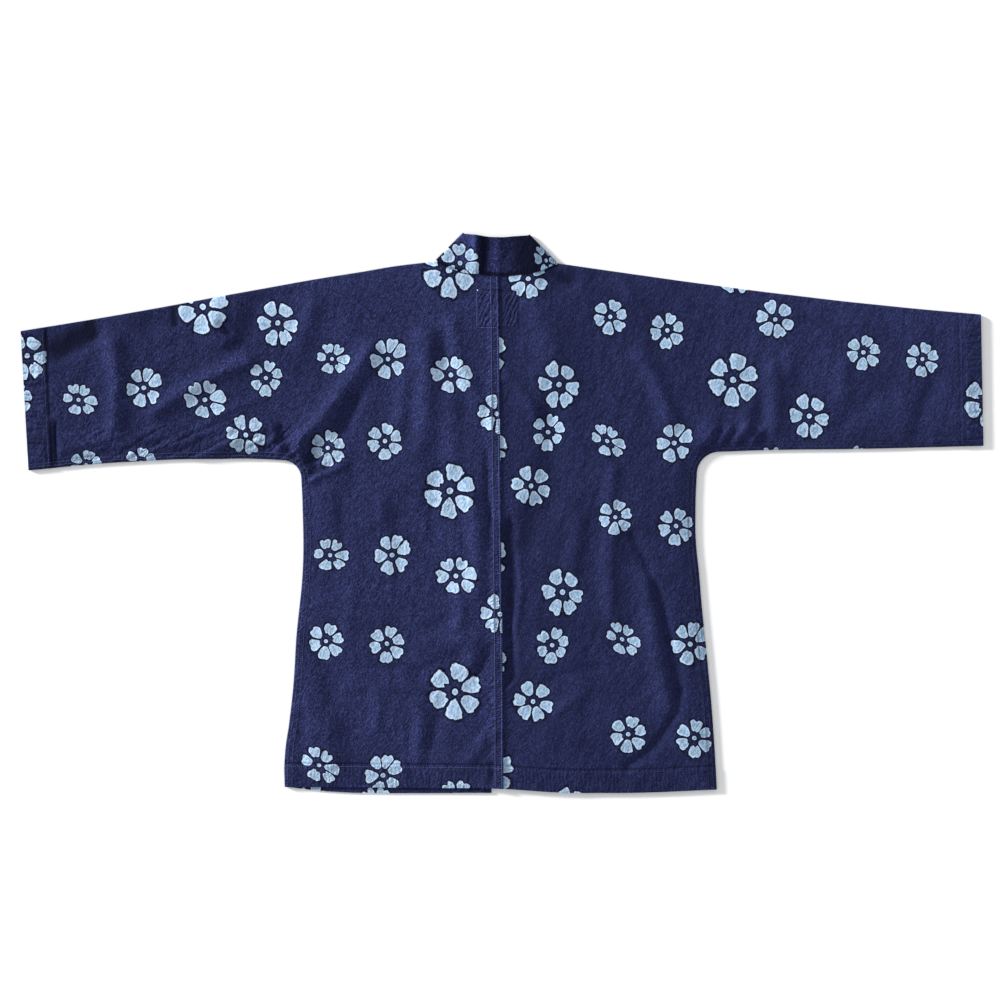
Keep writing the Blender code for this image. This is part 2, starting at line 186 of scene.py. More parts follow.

# Folds of the back, on the chart. Columns: x and y of one end, x and y of the other, how far the fold bows
# aside halfway, its half width, and its rise in millimetres. The rise also paints the colour: painted light
# on raised folds, painted shade in sunk ones.
FOLDS = [
    # left sleeve
    (113, 345, 114, 425, 3, 9, 5.8),
    (155, 412, 247, 361, 4, 8, 5.4),
    (290, 452, 368, 350, -5, 8.5, 6.6),
    (340, 426, 352, 396, 0, 9, -6.1),
    (316, 440, 309, 468, 0, 7, -10.5),
    (300, 455, 306, 470, 0, 3, 3.2),
    (299, 470, 322, 462, 1, 2.4, 2.8),
    (303, 477, 334, 466, 0, 2.6, -3.6),
    (282, 455, 297, 442, 0, 2.2, -3.0),
    (286, 457, 300, 445, 0, 2.2, 2.2),
    (269, 449, 282, 437, 0, 2.4, -2.4),
    (273, 452, 287, 441, 0, 2.2, 1.8),
    (258, 456, 296, 457, 0, 2.6, -1.8),
    (221, 325, 229, 333, 0, 3, -5.0),
    (222, 345, 230, 338, 0, 5, 2.2),
    (312, 479, 341, 466, 2, 4, 4.7),
    (306, 476, 326, 469, 0, 2.5, -3.2),
    (281, 428, 291, 456, 0, 5, -4.7),
    (272, 440, 282, 456, 0, 3, 2.5),
    (262, 446, 272, 458, 0, 3, -2.2),
    (194, 463, 233, 441, 2, 6, 4.0),
    (56, 348, 86, 332, 0, 12, -13.0),
    (89, 316, 91, 334, 0, 3.4, -15.0),
    (146, 326, 168, 321, 0, 9, -2.9),
    (172, 306, 175, 324, 0, 3.4, -12.0),
    (58, 452, 150, 431, 2, 3.5, 1.4),
    (75, 462, 190, 438, 2, 3, -1.4),
    (150, 452, 232, 428, 2, 3, 1.4),
    (196, 430, 262, 398, 3, 4, 1.6),
    (120, 398, 150, 378, 0, 4, -1.4),
    (215, 300, 214, 338, 2, 12, 3.2),
    (258, 295, 244, 340, 0, 10, -3.2),
    (262, 298, 300, 296, 0, 7, -1.8),
    (312, 308, 300, 345, 0, 9, 2.9),
    (55, 424, 56, 466, 0, 1.8, -9.0),
    # left body
    (424, 338, 420, 445, 4, 11, 4.7),
    (404, 378, 399, 428, 0, 7, 2.5),
    (452, 325, 478, 400, -5, 9, 4.3),
    (452, 398, 453, 458, 0, 8, 2.9),
    (444, 338, 446, 362, 0, 7, -2.9),
    (470, 492, 476, 592, 3, 9, 4.4),
    (491, 470, 491, 545, 0, 5, -1.8),
    (460, 588, 459, 640, 0, 8, 3.2),
    (472, 640, 471, 665, 0, 7, 2.5),
    (416, 676, 458, 655, 2, 7, -2.2),
    (430, 629, 450, 617, 0, 6, -2.2),
    (476, 676, 494, 645, 0, 6, -2.9),
    (418, 705, 417, 756, 2, 8, 3.6),
    (377, 695, 376, 725, 0, 7, 2.5),
    (382, 497, 381, 518, 0, 7, 2.2),
    (312, 650, 350, 765, 8, 14, -3.6),
    (471, 759, 494, 731, 0, 6, 2.9),
    (303, 716, 303, 785, 0, 6, -2.5),
    (494, 762, 493, 786, 0, 3, -2.9),
    (404, 735, 406, 790, 0, 2.4, 1.8),
    # left cuff's turned edge
    (30, 386, 45, 384, 0, 3.5, -3.5),
    (29, 416, 46, 417, 0, 3, -2.5),
    (31, 444, 47, 446, 0, 2.6, -2.5),
    # left body, the faint ones
    (340, 500, 346, 560, 0, 6, -2.2),
    (398, 520, 400, 580, 0, 7, -1.8),
    (436, 470, 432, 540, 0, 6, -1.8),
    (352, 590, 347, 645, 0, 8, 1.8),
    (330, 730, 352, 690, 0, 9, 2.0),
    (444, 700, 430, 745, 0, 6, -2.0),
    (487, 452, 486, 500, 0, 2.4, -1.8),
    (491, 503, 490, 524, 0, 2.2, -1.8),
    (452, 530, 453, 556, 0, 2.2, 1.5),
    (458, 532, 460, 562, 0, 2.2, 1.5),
    (480, 742, 492, 722, 0, 2.6, 1.8),
    (476, 716, 484, 704, 0, 2.6, -1.6),
    (385, 495, 425, 495, 0, 4, -1.1),
    (320, 610, 450, 611, 2, 4, -1.1),
    (360, 667, 400, 667, 0, 4, -1.1),
    (350, 695, 430, 696, 2, 4, -1.1),
    # right body
    (533, 297, 552, 365, 3, 16, 4.3),
    # a trough below the collar's right end, deep mostly to paint the collar's cast shadow there
    (552, 272, 566, 279, 0, 9, -13.0),
    (550, 415, 548, 505, 3, 14, -4.0),
    (534, 510, 528, 545, 0, 10, -3.2),
    (506, 377, 534, 413, 3, 6, 3.2),
    (641, 357, 670, 421, 3, 9, 5.0),
    (578, 522, 572, 566, 0, 9, 3.6),
    (612, 472, 610, 503, 0, 8, 2.9),
    (611, 532, 612, 617, -3, 9, 3.6),
    (647, 580, 669, 707, -3, 9, 4.0),
    (632, 535, 668, 640, 5, 5, -3.2),
    (668, 640, 679, 690, 2, 5, -2.2),
    (679, 690, 627, 766, 12, 5, -3.2),
    (549, 682, 600, 668, 4, 6, -1.8),
    (558, 712, 586, 690, 0, 6, 2.2),
    (508, 530, 512, 588, 0, 6, -8.0),
    (511, 600, 508, 634, 0, 4.5, -7.0),
    (514, 540, 521, 588, 0, 2.6, 1.7),
    (521, 594, 515, 634, 0, 2.6, 1.9),
    (508, 648, 508, 676, 0, 4.5, -3.6),
    (512, 636, 514, 676, 0, 2.2, -4.6),
    (513, 678, 505, 686, 0, 2.2, -3.6),
    (510, 518, 513, 560, 0, 2.5, -2.5),
    (622, 277, 632, 298, 0, 6, 2.2),
    # right sleeve
    (773, 368, 772, 426, 2, 9, 4.3),
    (763, 397, 763, 436, 0, 6, -2.2),
    (791, 355, 789, 372, 0, 7, 2.2),
    (844, 365, 843, 394, 0, 8, 2.9),
    (746, 409, 745, 432, 0, 7, 2.5),
    (698, 446, 708, 424, 0, 7, 3.2),
    (838, 428, 884, 394, 3, 10, -2.2),
    (934, 384, 918, 440, -3, 9, -2.9),
    (706, 441, 715, 428, 0, 3, 3.2),
    (720, 442, 730, 427, 0, 3, 3.2),
    (735, 442, 746, 427, 0, 3, 3.2),
    (752, 441, 762, 430, 0, 3, 2.9),
]

# The label sewn inside shows as a rectangle of stitches: left, right, top and bottom, on the chart
LABEL = (477, 518, 291, 328)

# The print. Each motif has six petals, measured in shares of its radius. A petal's columns: the way it points
# in degrees, its inner and outer ends, its half width, how deep its outer end is notched, how much longer its
# left lobe is than its right one, and how deep its inner end is cleft.
MOTIFS = {
    "A": [
        (75, 0.37, 0.99, 0.36, -0.02, 0.04, 0.09),
        (18, 0.26, 0.95, 0.31, 0.03, 0.02, 0.00),
        (-41, 0.32, 0.98, 0.32, 0.01, 0.00, 0.00),
        (-96, 0.25, 1.02, 0.32, 0.02, 0.04, 0.00),
        (-157, 0.31, 0.93, 0.36, -0.02, -0.04, 0.10),
        (139, 0.36, 0.98, 0.33, -0.02, 0.00, 0.12),
    ],
    "B": [
        (116, 0.36, 1.00, 0.31, 0.00, -0.08, 0.00),
        (54, 0.38, 0.87, 0.34, 0.00, 0.04, 0.00),
        (-14, 0.28, 0.90, 0.31, 0.05, 0.00, 0.00),
        (-65, 0.38, 1.02, 0.30, 0.03, -0.06, 0.08),
        (-115, 0.35, 1.02, 0.29, 0.03, 0.06, 0.00),
        (180, 0.29, 0.90, 0.33, 0.02, -0.06, 0.08),
    ],
    "C": [
        (125, 0.38, 0.97, 0.33, 0.12, 0.03, 0.00),
        (66, 0.36, 0.92, 0.33, 0.09, 0.00, 0.00),
        (11, 0.27, 0.99, 0.35, 0.00, -0.07, 0.00),
        (-39, 0.36, 1.05, 0.30, 0.05, 0.02, 0.00),
        (-105, 0.28, 0.85, 0.35, 0.02, 0.02, 0.10),
        (182, 0.34, 0.97, 0.34, 0.06, -0.07, 0.00),
    ],
    "D": [
        (118, 0.34, 0.98, 0.27, 0.00, -0.03, 0.00),
        (73, 0.32, 1.05, 0.29, 0.04, -0.04, 0.00),
        (26, 0.30, 1.02, 0.34, 0.02, 0.08, 0.00),
        (-43, 0.28, 0.94, 0.33, 0.05, -0.06, 0.07),
        (-109, 0.30, 0.98, 0.35, 0.00, 0.04, 0.06),
        (184, 0.22, 0.90, 0.35, 0.03, 0.00, 0.00),
    ],
    "E": [
        (74, 0.36, 1.03, 0.34, 0.11, 0.00, 0.00),
        (22, 0.38, 0.96, 0.32, 0.02, 0.00, 0.08),
        (-34, 0.34, 0.87, 0.32, 0.00, 0.00, 0.09),
        (-91, 0.40, 1.08, 0.36, 0.03, 0.00, 0.00),
        (215, 0.34, 0.92, 0.32, 0.03, 0.00, 0.08),
        (141, 0.36, 0.97, 0.35, 0.04, 0.00, 0.08),
    ],
    "F": [
        (110, 0.38, 0.95, 0.33, 0.07, 0.04, 0.07),
        (56, 0.32, 0.94, 0.32, 0.14, 0.00, 0.00),
        (-1, 0.28, 1.06, 0.30, 0.00, -0.02, 0.00),
        (-46, 0.42, 1.00, 0.30, 0.03, 0.03, 0.09),
        (-110, 0.30, 0.87, 0.37, 0.00, -0.04, 0.09),
        (172, 0.35, 0.90, 0.28, 0.03, 0.00, 0.00),
    ],
    "H": [
        (73, 0.36, 1.00, 0.38, 0.05, 0.00, 0.09),
        (16, 0.36, 0.97, 0.33, 0.04, 0.00, 0.10),
        (-41, 0.31, 1.05, 0.32, 0.05, 0.00, 0.00),
        (-95, 0.28, 1.03, 0.35, 0.00, 0.00, 0.00),
        (200, 0.31, 0.94, 0.36, 0.03, -0.02, 0.10),
        (140, 0.32, 1.00, 0.33, 0.00, 0.00, 0.00),
    ],
    "I": [
        (73, 0.34, 0.98, 0.35, 0.05, 0.02, 0.06),
        (17, 0.33, 0.94, 0.32, 0.02, 0.00, 0.07),
        (-41, 0.30, 1.02, 0.33, 0.03, 0.00, 0.00),
        (-95, 0.38, 1.07, 0.37, 0.04, 0.00, 0.11),
        (197, 0.33, 0.97, 0.36, 0.05, -0.02, 0.09),
        (138, 0.31, 1.00, 0.34, 0.03, 0.00, 0.00),
    ],
    "J": [
        (114, 0.30, 1.00, 0.31, 0.02, -0.04, 0.00),
        (48, 0.30, 0.96, 0.34, 0.00, 0.00, 0.06),
        (-16, 0.36, 0.98, 0.30, 0.00, -0.03, 0.00),
        (-70, 0.25, 0.98, 0.33, 0.07, 0.00, 0.00),
        (-129, 0.25, 0.94, 0.35, 0.06, 0.00, 0.00),
        (173, 0.35, 0.98, 0.32, 0.05, 0.00, 0.05),
    ],
}
# Radius of each motif on the chart
MOTIF_SIZES = dict(A=27.0, B=22.6, C=20.7, D=20.0, E=17.5, F=17.4, H=18.2, I=17.8, J=20.5)
PRINT_STEP = (-3.0, 205.0)  # the print repeats after this step on the chart
PRINT_STEPS = (1, 2, 3, 4)  # as many repeats as the front needs
PRINT_REACH = 1.35  # how far from its middle a flower is drawn, in radii
FAR_OFF = 9.0  # what the cloth beyond every flower reads instead
# The cut that all petals share, in shares of a petal's length and half width
PETAL_CUT = SimpleNamespace(
    sides_meet=0.15,  # where its straight sides would meet
    spread=1.5,
    swell=0.8,  # below 1, so its sides swell outwards
    side_pull=0.33,
    droop=0.03,  # how much its end falls back beside the middle
    end_rounding=0.6,
    start_rounding=0.2,
    least_notch=0.03,
    notch_width=0.28,
    cleft_aside=0.1,
    cleft_width=0.2,
)

# Flowers on the back: motif, place on the chart, turn in degrees, size against the motif's own
LEFT_FLOWERS = [
    ("B", 27, 356, 8, 1.0),
    ("E", 16, 401, 3, 1.0),
    ("F", 79, 400, 1, 1.0),
    ("D", 144, 388, 3, 0.98),
    ("A", 203, 307, 1, 1.0),
    ("C", 205, 400, 3, 1.0),
    ("H", 86, 465, 5, 0.85),
    ("I", 141, 462, 8, 0.85),
    ("J", 246, 435, 0, 1.0),
    ("B", 278, 323, 3, 1.0),
    ("E", 266, 378, 0, 1.0),
    ("F", 332, 359, -2, 0.98),
    ("D", 388, 359, 4, 1.0),
    ("H", 328, 448, 4, 0.98),
    ("I", 385, 441, 5, 1.02),
    ("C", 451, 375, 0, 1.0),
    ("J", 497, 414, -3, 1.0),
    ("A", 449, 270, 4, 1.04),
    ("A", 450, 491, 1, 1.0),
    ("C", 456, 576, 0, 1.0),
    ("J", 500, 614, 3, 1.0),
    ("F", 330, 555, 0, 1.03),
    ("D", 392, 555, 0, 1.0),
    ("H", 326, 641, -2, 1.0),
    ("I", 387, 643.5, 1, 1.03),
    ("A", 455, 691.5, 2, 1.03),
    ("F", 319, 765, -8, 1.08),
    ("D", 383, 775, 2, 1.02),
    ("C", 457, 799, 0, 1.0),
]
RIGHT_FLOWERS = [
    ("J", 528, 279, -5, 1.0),
    ("A", 480.5, 352, 0, 1.0),
    ("B", 559, 384.5, 0, 1.02),
    ("E", 548, 432, -2, 1.02),
    ("F", 607, 441, 0, 1.0),
    ("H", 610, 317, -4, 0.96),
    ("I", 667, 330.5, 0, 1.0),
    ("C", 733, 275, -10, 1.0),
    ("J", 775, 319.5, -4, 0.97),
    ("A", 733, 380, 0, 0.97),
    ("H", 863, 352.5, 0, 0.95),
    ("I", 922, 359, 0, 0.95),
    ("B", 809, 416, 0, 0.98),
    ("A", 988, 402, 3, 0.95),
    ("D", 674, 443, -2, 0.97),
    ("I", 676, 526, 0, 1.03),
    ("H", 615, 517, 0, 0.95),
    ("J", 531, 486, -2, 1.0),
    ("A", 481.5, 556.5, 0, 1.0),
    ("C", 485, 445, 0, 1.03),
    ("C", 484.5, 659, 0, 1.03),
    ("B", 562.5, 592, 0, 1.02),
    ("E", 552, 645, -4, 1.02),
    ("F", 622, 639, -2, 1.0),
    ("D", 690, 644, 6, 1.07),
    ("J", 533, 701.5, 0, 1.02),
    ("H", 628, 734, 0, 1.02),
    ("I", 694, 738, 8, 1.05),
    ("A", 488, 771, 0, 1.0),
    ("B", 571, 810, 0, 1.0),
    ("J", 732, 719, 0, 1.0),
    ("E", 855, 463.5, 0, 1.0),
    ("C", 772.5, 466, 0, 1.0),
]
COLLAR_FLOWERS = [
    ("C", 460, 263, -31, 1.0),
    ("C", 546, 260.5, -4, 0.85),
]
# Flowers drawn out along a fold or a stretched seam: place, way in degrees, length along it, width across it
STRETCHED = {
    (607, 441): (-50, 1.16, 0.86),
    (622, 639): (-50, 1.16, 0.88),
    (319, 765): (-45, 1.14, 0.92),
    (79, 400): (-45, 1.05, 0.97),
    (86, 465): (0, 1.1, 0.95),
    (141, 462): (0, 1.1, 0.95),
    (546, 260.5): (15, 0.66, 1.0),
}
# Flowers of the left front that show below the back's hem, and the height below which it has no others
LEFT_FRONT_FLOWERS = [
    ("C", 377, 807, 0, 1.05),
    ("E", 312, 801, 0, 1.0),
]
FRONT_PRINT_END = -340.0


def colour_of(code):
    """The linear colour of a colour code such as 2C3156."""
    parts = [int(code[n : n + 2], 16) / 255 for n in (0, 2, 4)]
    return (*((part / 12.92 if part < 0.04045 else ((part + 0.055) / 1.055) ** 2.4) for part in parts), 1.0)


def charted(x, y):
    """A place on the chart as a place on the jacket."""
    return (x - CHART_ZERO[0]) * CHART, (CHART_ZERO[1] - y) * CHART


def curve(rows):
    """A smooth function through rows of place and value."""
    at, value = np.array(sorted(rows), float).T
    slope = np.gradient(value, at)

    def read(where):
        where = np.clip(where, at[0], at[-1])
        n = np.clip(np.searchsorted(at, where) - 1, 0, len(at) - 2)
        u = (where - at[n]) / (at[n + 1] - at[n])
        start = value[n] + (where - at[n]) * slope[n]
        end = value[n + 1] + (where - at[n + 1]) * slope[n + 1]
        return start + (end - start) * u * u * (3 - 2 * u)

    return read


def eased(value):
    """0 below 0, 1 above 1 and smooth between."""
    value = np.clip(value, 0.0, 1.0)
    return value * value * (3 - 2 * value)


middle = curve(MIDDLE)
back_hem = curve(BACK_HEM)
neck = curve(NECK)
collar_wave = curve(COLLAR_WAVE)
collar_painted_light_and_shade = curve(COLLAR_PAINTED_LIGHT_AND_SHADE)
collar_top = curve(COLLAR_TOP)


def slope_of(function, where):
    """The slope of a function, over one millimetre."""
    return function(where + 0.5) - function(where - 0.5)


def shares(values):
    """Where each value lies between the first (0) and the last (1)."""
    values = np.array(values, float)
    return (values - values[0]) / (values[-1] - values[0])


def steps(first, last, count):
    """Evenly spaced values after first, up to last."""
    return list(np.linspace(first, last, count + 1)[1:])


def between(first, last, share):
    """Points on the straight line from first to last, one for each share."""
    first, last = np.array(first, float), np.array(last, float)
    return first + np.array(share)[:, None] * (last - first)


def paired(across, up):
    """Points from their places across and up."""
    return np.stack(np.broadcast_arrays(across, up), axis=-1).astype(float)


def turning(degrees):
    """The matrix that reads places along a way and to its left."""
    c, s = cos(radians(degrees)), sin(radians(degrees))
    return np.array(((c, s), (-s, c)))


def filled(bottom, top, start, end, across, up):
    """Points between four edges, as [column, row]. across and up say where the columns and rows lie."""
    s = np.array(across)[:, None, None]
    t = np.array(up)[None, :, None]
    ruled = (1 - t) * bottom[:, None] + t * top[:, None] + (1 - s) * start[None] + s * end[None]
    lower = (1 - s) * bottom[0] + s * bottom[-1]
    upper = (1 - s) * top[0] + s * top[-1]
    return ruled - (1 - t) * lower - t * upper


def fold_rise(x, y):
    """How much the folds lift or sink the cloth at points of the back."""
    rise = np.zeros(np.shape(x))
    for x0, y0, x1, y1, bow, half_width, height in FOLDS:
        start, end = np.array(charted(x0, y0)), np.array(charted(x1, y1))
        length = np.linalg.norm(end - start)
        way = (end - start) / length
        along = (x - start[0]) * way[0] + (y - start[1]) * way[1]
        aside = (y - start[1]) * way[0] - (x - start[0]) * way[1]
        share = np.clip(along / length, 0, 1)
        aside = aside - bow * CHART * 4 * share * (1 - share)  # the whole bow halfway, none at the ends
        away = np.hypot(aside, along - share * length)
        rise += height * np.exp(-((away / (half_width * CHART)) ** 2))
    return rise


class Edge:
    """Places along a fold or a closed seam, the ways out of the cloth there, and the grid's points inside."""

    def __init__(self, places, ways_out):
        self.places = np.array(places, float)
        self.ways_out = np.array(ways_out, float)
        self.ways_out /= np.linalg.norm(self.ways_out, axis=1)[:, None]
        self.inside = self.places - ROLL * self.ways_out


class Outline:
    """The outline of one half, in places measured away from the middle of the back."""

    def __init__(self, half):
        self.side = half.side
        self.lies_under = half.lies_under
        self.fold = curve(half.fold)
        self.underarm = curve(half.underarm)
        self.side_edge = curve(half.side_edge)
        self.front_hem = curve(half.front_hem)
        self.radius = half.armpit
        self.armpit = np.array((half.underarm[0][0], half.side_edge[-1][0]))
        self.neck_side = half.fold[0][0]
        self.cuff_top = half.fold[-1][0]
        self.cuff_bottom = half.underarm[-1][0]
        self.hem_corner = half.side_edge[0][0]
        self.front_end = np.array((half.front_edge, self.front_hem(half.front_edge)))
        self.neck_corner = self.fold_edge(np.array([self.neck_side])).inside[0]

    def start(self, up):
        """Where the half's edge runs at the middle of the back."""
        return self.side * middle(up) - LAP_WIDTH * self.lies_under

    def front_edge(self, up):
        """Where the front's edge runs. It is straight from the neck side to the hem."""
        share = (self.neck_corner[1] - up) / (self.neck_corner[1] - self.front_end[1])
        return self.neck_corner[0] + share * (self.front_end[0] - self.neck_corner[0])

    def fold_edge(self, outs):
        """The fold over shoulder and sleeve."""
        return Edge(paired(outs, self.fold(outs)), paired(-slope_of(self.fold, outs), 1.0))

    def closed_edge(self):
        """The side, the armpit and the underarm, and the number of the armpit's middle among its places."""
        hem_turned = self.hem_corner + HEM_WIDTH
        heights = [self.hem_corner] + steps(self.hem_corner, hem_turned, HEM_ROWS) + [hem_turned + TURN_SLOPE]
        heights = np.array(heights + steps(heights[-1], self.armpit[1], ROWS_OF_SIDE))
        angles = np.array(steps(0.0, pi / 2, 2 * ARMPIT_STEPS))
        around = paired(np.cos(angles), -np.sin(angles))
        cuff_turned = self.cuff_bottom - CUFF_WIDTH
        outs = steps(self.armpit[0], cuff_turned - TURN_SLOPE, COLUMNS_OF_SLEEVE) + [cuff_turned]
        outs = np.array(outs + steps(cuff_turned, self.cuff_bottom, CUFF_COLUMNS))
        places = [
            paired(self.side_edge(heights), heights),
            self.armpit - self.radius * around,
            paired(outs, self.underarm(outs)),
        ]
        ways_out = [
            paired(1.0, -slope_of(self.side_edge, heights)),
            around,
            paired(slope_of(self.underarm, outs), -1.0),
        ]
        return Edge(np.concatenate(places), np.concatenate(ways_out)), len(heights) - 1 + ARMPIT_STEPS

    def seam_distance(self, out, up):
        """Roughly how far points of the back lie from the side, the armpit or the underarm."""
        beside_body = self.side_edge(up) - out
        above_arm = up - self.underarm(out)
        in_corner = np.hypot(self.armpit[0] - out, self.armpit[1] - up) - self.radius
        above_armpit = np.where(out >= self.armpit[0], above_arm, in_corner)
        return np.where(up <= self.armpit[1], beside_body, above_armpit)

    def edge_distance(self, out, up):
        """Roughly how far points of the back lie from the nearest closed edge, fold, cuff or hem."""
        beside = self.seam_distance(out, up)
        below_fold = np.where(out > self.neck_side, self.fold(out) - up, PUFF_WIDTH)
        nearest = np.minimum(beside, below_fold)
        nearest = np.minimum(nearest, up - back_hem(self.side * out))
        return np.minimum(nearest, self.cuff_bottom - out)

    def back_height(self, out, up):
        """How high the back layer's upper side lies, before turned edges and the lap."""
        over_band = eased((BAND_REACH + BAND_SLOPE - out) / BAND_SLOPE)
        lowest = SIDE_TOP + (BAND_TOP - SIDE_TOP) * over_band
        distance = self.edge_distance(out, up)
        puffed = PUFF * eased(distance / PUFF_WIDTH + PUFF_AT_EDGE)
        folded = fold_rise(self.side * out, up) * eased(distance / FOLD_WIDTH + FOLD_AT_EDGE)
        return lowest + np.maximum(puffed + folded, 0.0)


def half_grids(outline):
    """The back's and the front's points seen from above, as [column, row], with nan beyond the armpit."""
    closed, armpit_row = outline.closed_edge()
    side = closed.inside[: armpit_row + 1]
    underarm = closed.inside[armpit_row:]
    up_low = shares(side[:, 1])
    up_high = shares(range(ROWS_OF_SLEEVE + 1))

    start = outline.start(neck(0.0))
    width = side[-1][0] - start
    lap_end = (LAP_WIDTH + LAP_SLOPE) / width
    to_neck = (outline.neck_corner[0] - start) / width
    across = [0.0] + steps(0.0, LAP_WIDTH / width, LAP_COLUMNS)
    across += steps(LAP_WIDTH / width, lap_end, SLOPE_COLUMNS) + steps(lap_end, to_neck, COLUMNS_TO_NECK)
    neck_column = len(across) - 1
    across = np.array(across + steps(to_neck, 1.0, COLUMNS_TO_SIDE))
    side_column = len(across) - 1

    body_outs = start + across[neck_column:] * width
    body_outs[0] = outline.neck_side
    sleeve_across = shares(closed.places[armpit_row:, 0])
    sleeve_outs = body_outs[-1] + sleeve_across * (outline.cuff_top - body_outs[-1])
    fold = outline.fold_edge(np.concatenate([body_outs, sleeve_outs[1:]]))
    shoulder = fold.inside[: len(body_outs)]
    sleeve_fold = fold.inside[len(body_outs) - 1 :]

    above_armpit = between(side[-1], shoulder[-1], up_high)
    cuff = between(underarm[-1], sleeve_fold[-1], up_high)
    sleeve = filled(underarm, sleeve_fold, above_armpit, cuff, sleeve_across, up_high)

    def whole(hem, row, top, seam, columns):
        """The body's lower and upper blocks and the sleeve as one array. seam gives the body's inner edge."""
        low_ups = hem[0][1] + up_low * (row[0][1] - hem[0][1])
        high_ups = row[0][1] + up_high * (top[0][1] - row[0][1])
        low = filled(hem, row, paired(seam(low_ups), low_ups), side, columns, up_low)
        high = filled(row, top, paired(seam(high_ups), high_ups), above_armpit, columns, up_high)
        empty = np.full((len(sleeve) - 1, len(up_low) - 1, 2), np.nan)
        beyond = np.concatenate([empty, sleeve[1:]], axis=1)
        return np.concatenate([np.concatenate([low, high[:, 1:]], axis=1), beyond])

    hem_start = outline.start(outline.hem_corner)
    hem_outs = hem_start + across * (side[0][0] - hem_start)
    hem = paired(hem_outs, back_hem(outline.side * hem_outs))
    armpit_level = between((outline.start(ARMPIT_ROW), ARMPIT_ROW), side[-1], across)
    neck_outs = start + across[:neck_column] * width
    neckline = paired(neck_outs, neck(outline.side * neck_outs) - GAP / 2)
    back = whole(hem, armpit_level, np.concatenate([neckline, shoulder]), outline.start, across)

    front_across = shares(across[neck_column:])
    front_outs = outline.front_end[0] + front_across * (side[0][0] - outline.front_end[0])
    front_hem = paired(front_outs, outline.front_hem(front_outs))
    front_level = between((outline.front_edge(ARMPIT_ROW), ARMPIT_ROW), side[-1], front_across)
    front = whole(front_hem, front_level, shoulder, outline.front_edge, front_across)
    return SimpleNamespace(
        back=back,
        front=front,
        fold=fold,
        closed=closed,
        armpit_row=armpit_row,
        neck_column=neck_column,
        side_column=side_column,
    )


class Flower:
    """One printed flower: its middle, and the matrix from places on the cloth to shares of its radius."""

    def __init__(self, row, mirrored_at=None):
        motif, x, y, turn, size = row
        self.petals = MOTIFS[motif]
        radius = MOTIF_SIZES[motif] * size * CHART
        self.middle = np.array(charted(x, y))
        self.matrix = turning(turn) / radius
        if (x, y) in STRETCHED:
            way, length, width = STRETCHED[(x, y)]
            to_way = turning(way)
            self.matrix = self.matrix @ to_way.T @ np.diag((1 / length, 1 / width)) @ to_way
        if mirrored_at is not None:
            self.middle[1] = 2 * mirrored_at - self.middle[1]
            self.matrix = self.matrix @ np.diag((1.0, -1.0))

    def seen_from(self, places):
        """Places on the cloth in shares of the flower's radius."""
        return (places - self.middle) @ self.matrix.T


def back_flowers(rows):
    """The flowers of a table, as the photo shows them."""
    return [Flower(row) for row in rows]


def front_flowers(rows, outline, shown=()):
    """The print goes on over the fold and down the front, so the front's flowers are the back's, one or more
    steps of the print further up, mirrored at the fold. Where the photo shows the front below the back's hem,
    shown gives its flowers instead."""
    made = back_flowers(shown)
    for repeat in PRINT_STEPS:
        for motif, x, y, turn, size in rows:
            moved = (motif, x - repeat * PRINT_STEP[0], y - repeat * PRINT_STEP[1], turn, size)
            out, up = charted(*moved[1:3])
            fold = outline.fold(abs(out))
            below_hem_strip = 2 * fold - up < FRONT_PRINT_END and shown
            if up > fold - MOTIF_SIZES[motif] * CHART and not below_hem_strip:
                made.append(Flower(moved, mirrored_at=fold))
    return made


def placed(name, data):
    """A mesh, a light or a camera as an object of the scene."""
    made = bpy.data.objects.new(name, data)
    bpy.context.collection.objects.link(made)
    return made


def made_of(name, points, faces, material):
    """An object of one material, from points in millimetres."""
    mesh = bpy.data.meshes.new(name)
    mesh.from_pydata((points * MM).tolist(), [], faces)
    mesh.materials.append(material)
    return placed(name, mesh)


# Which of a piece's lists of flowers a layer's print comes from
SHOWN, HIDDEN = 0, 1


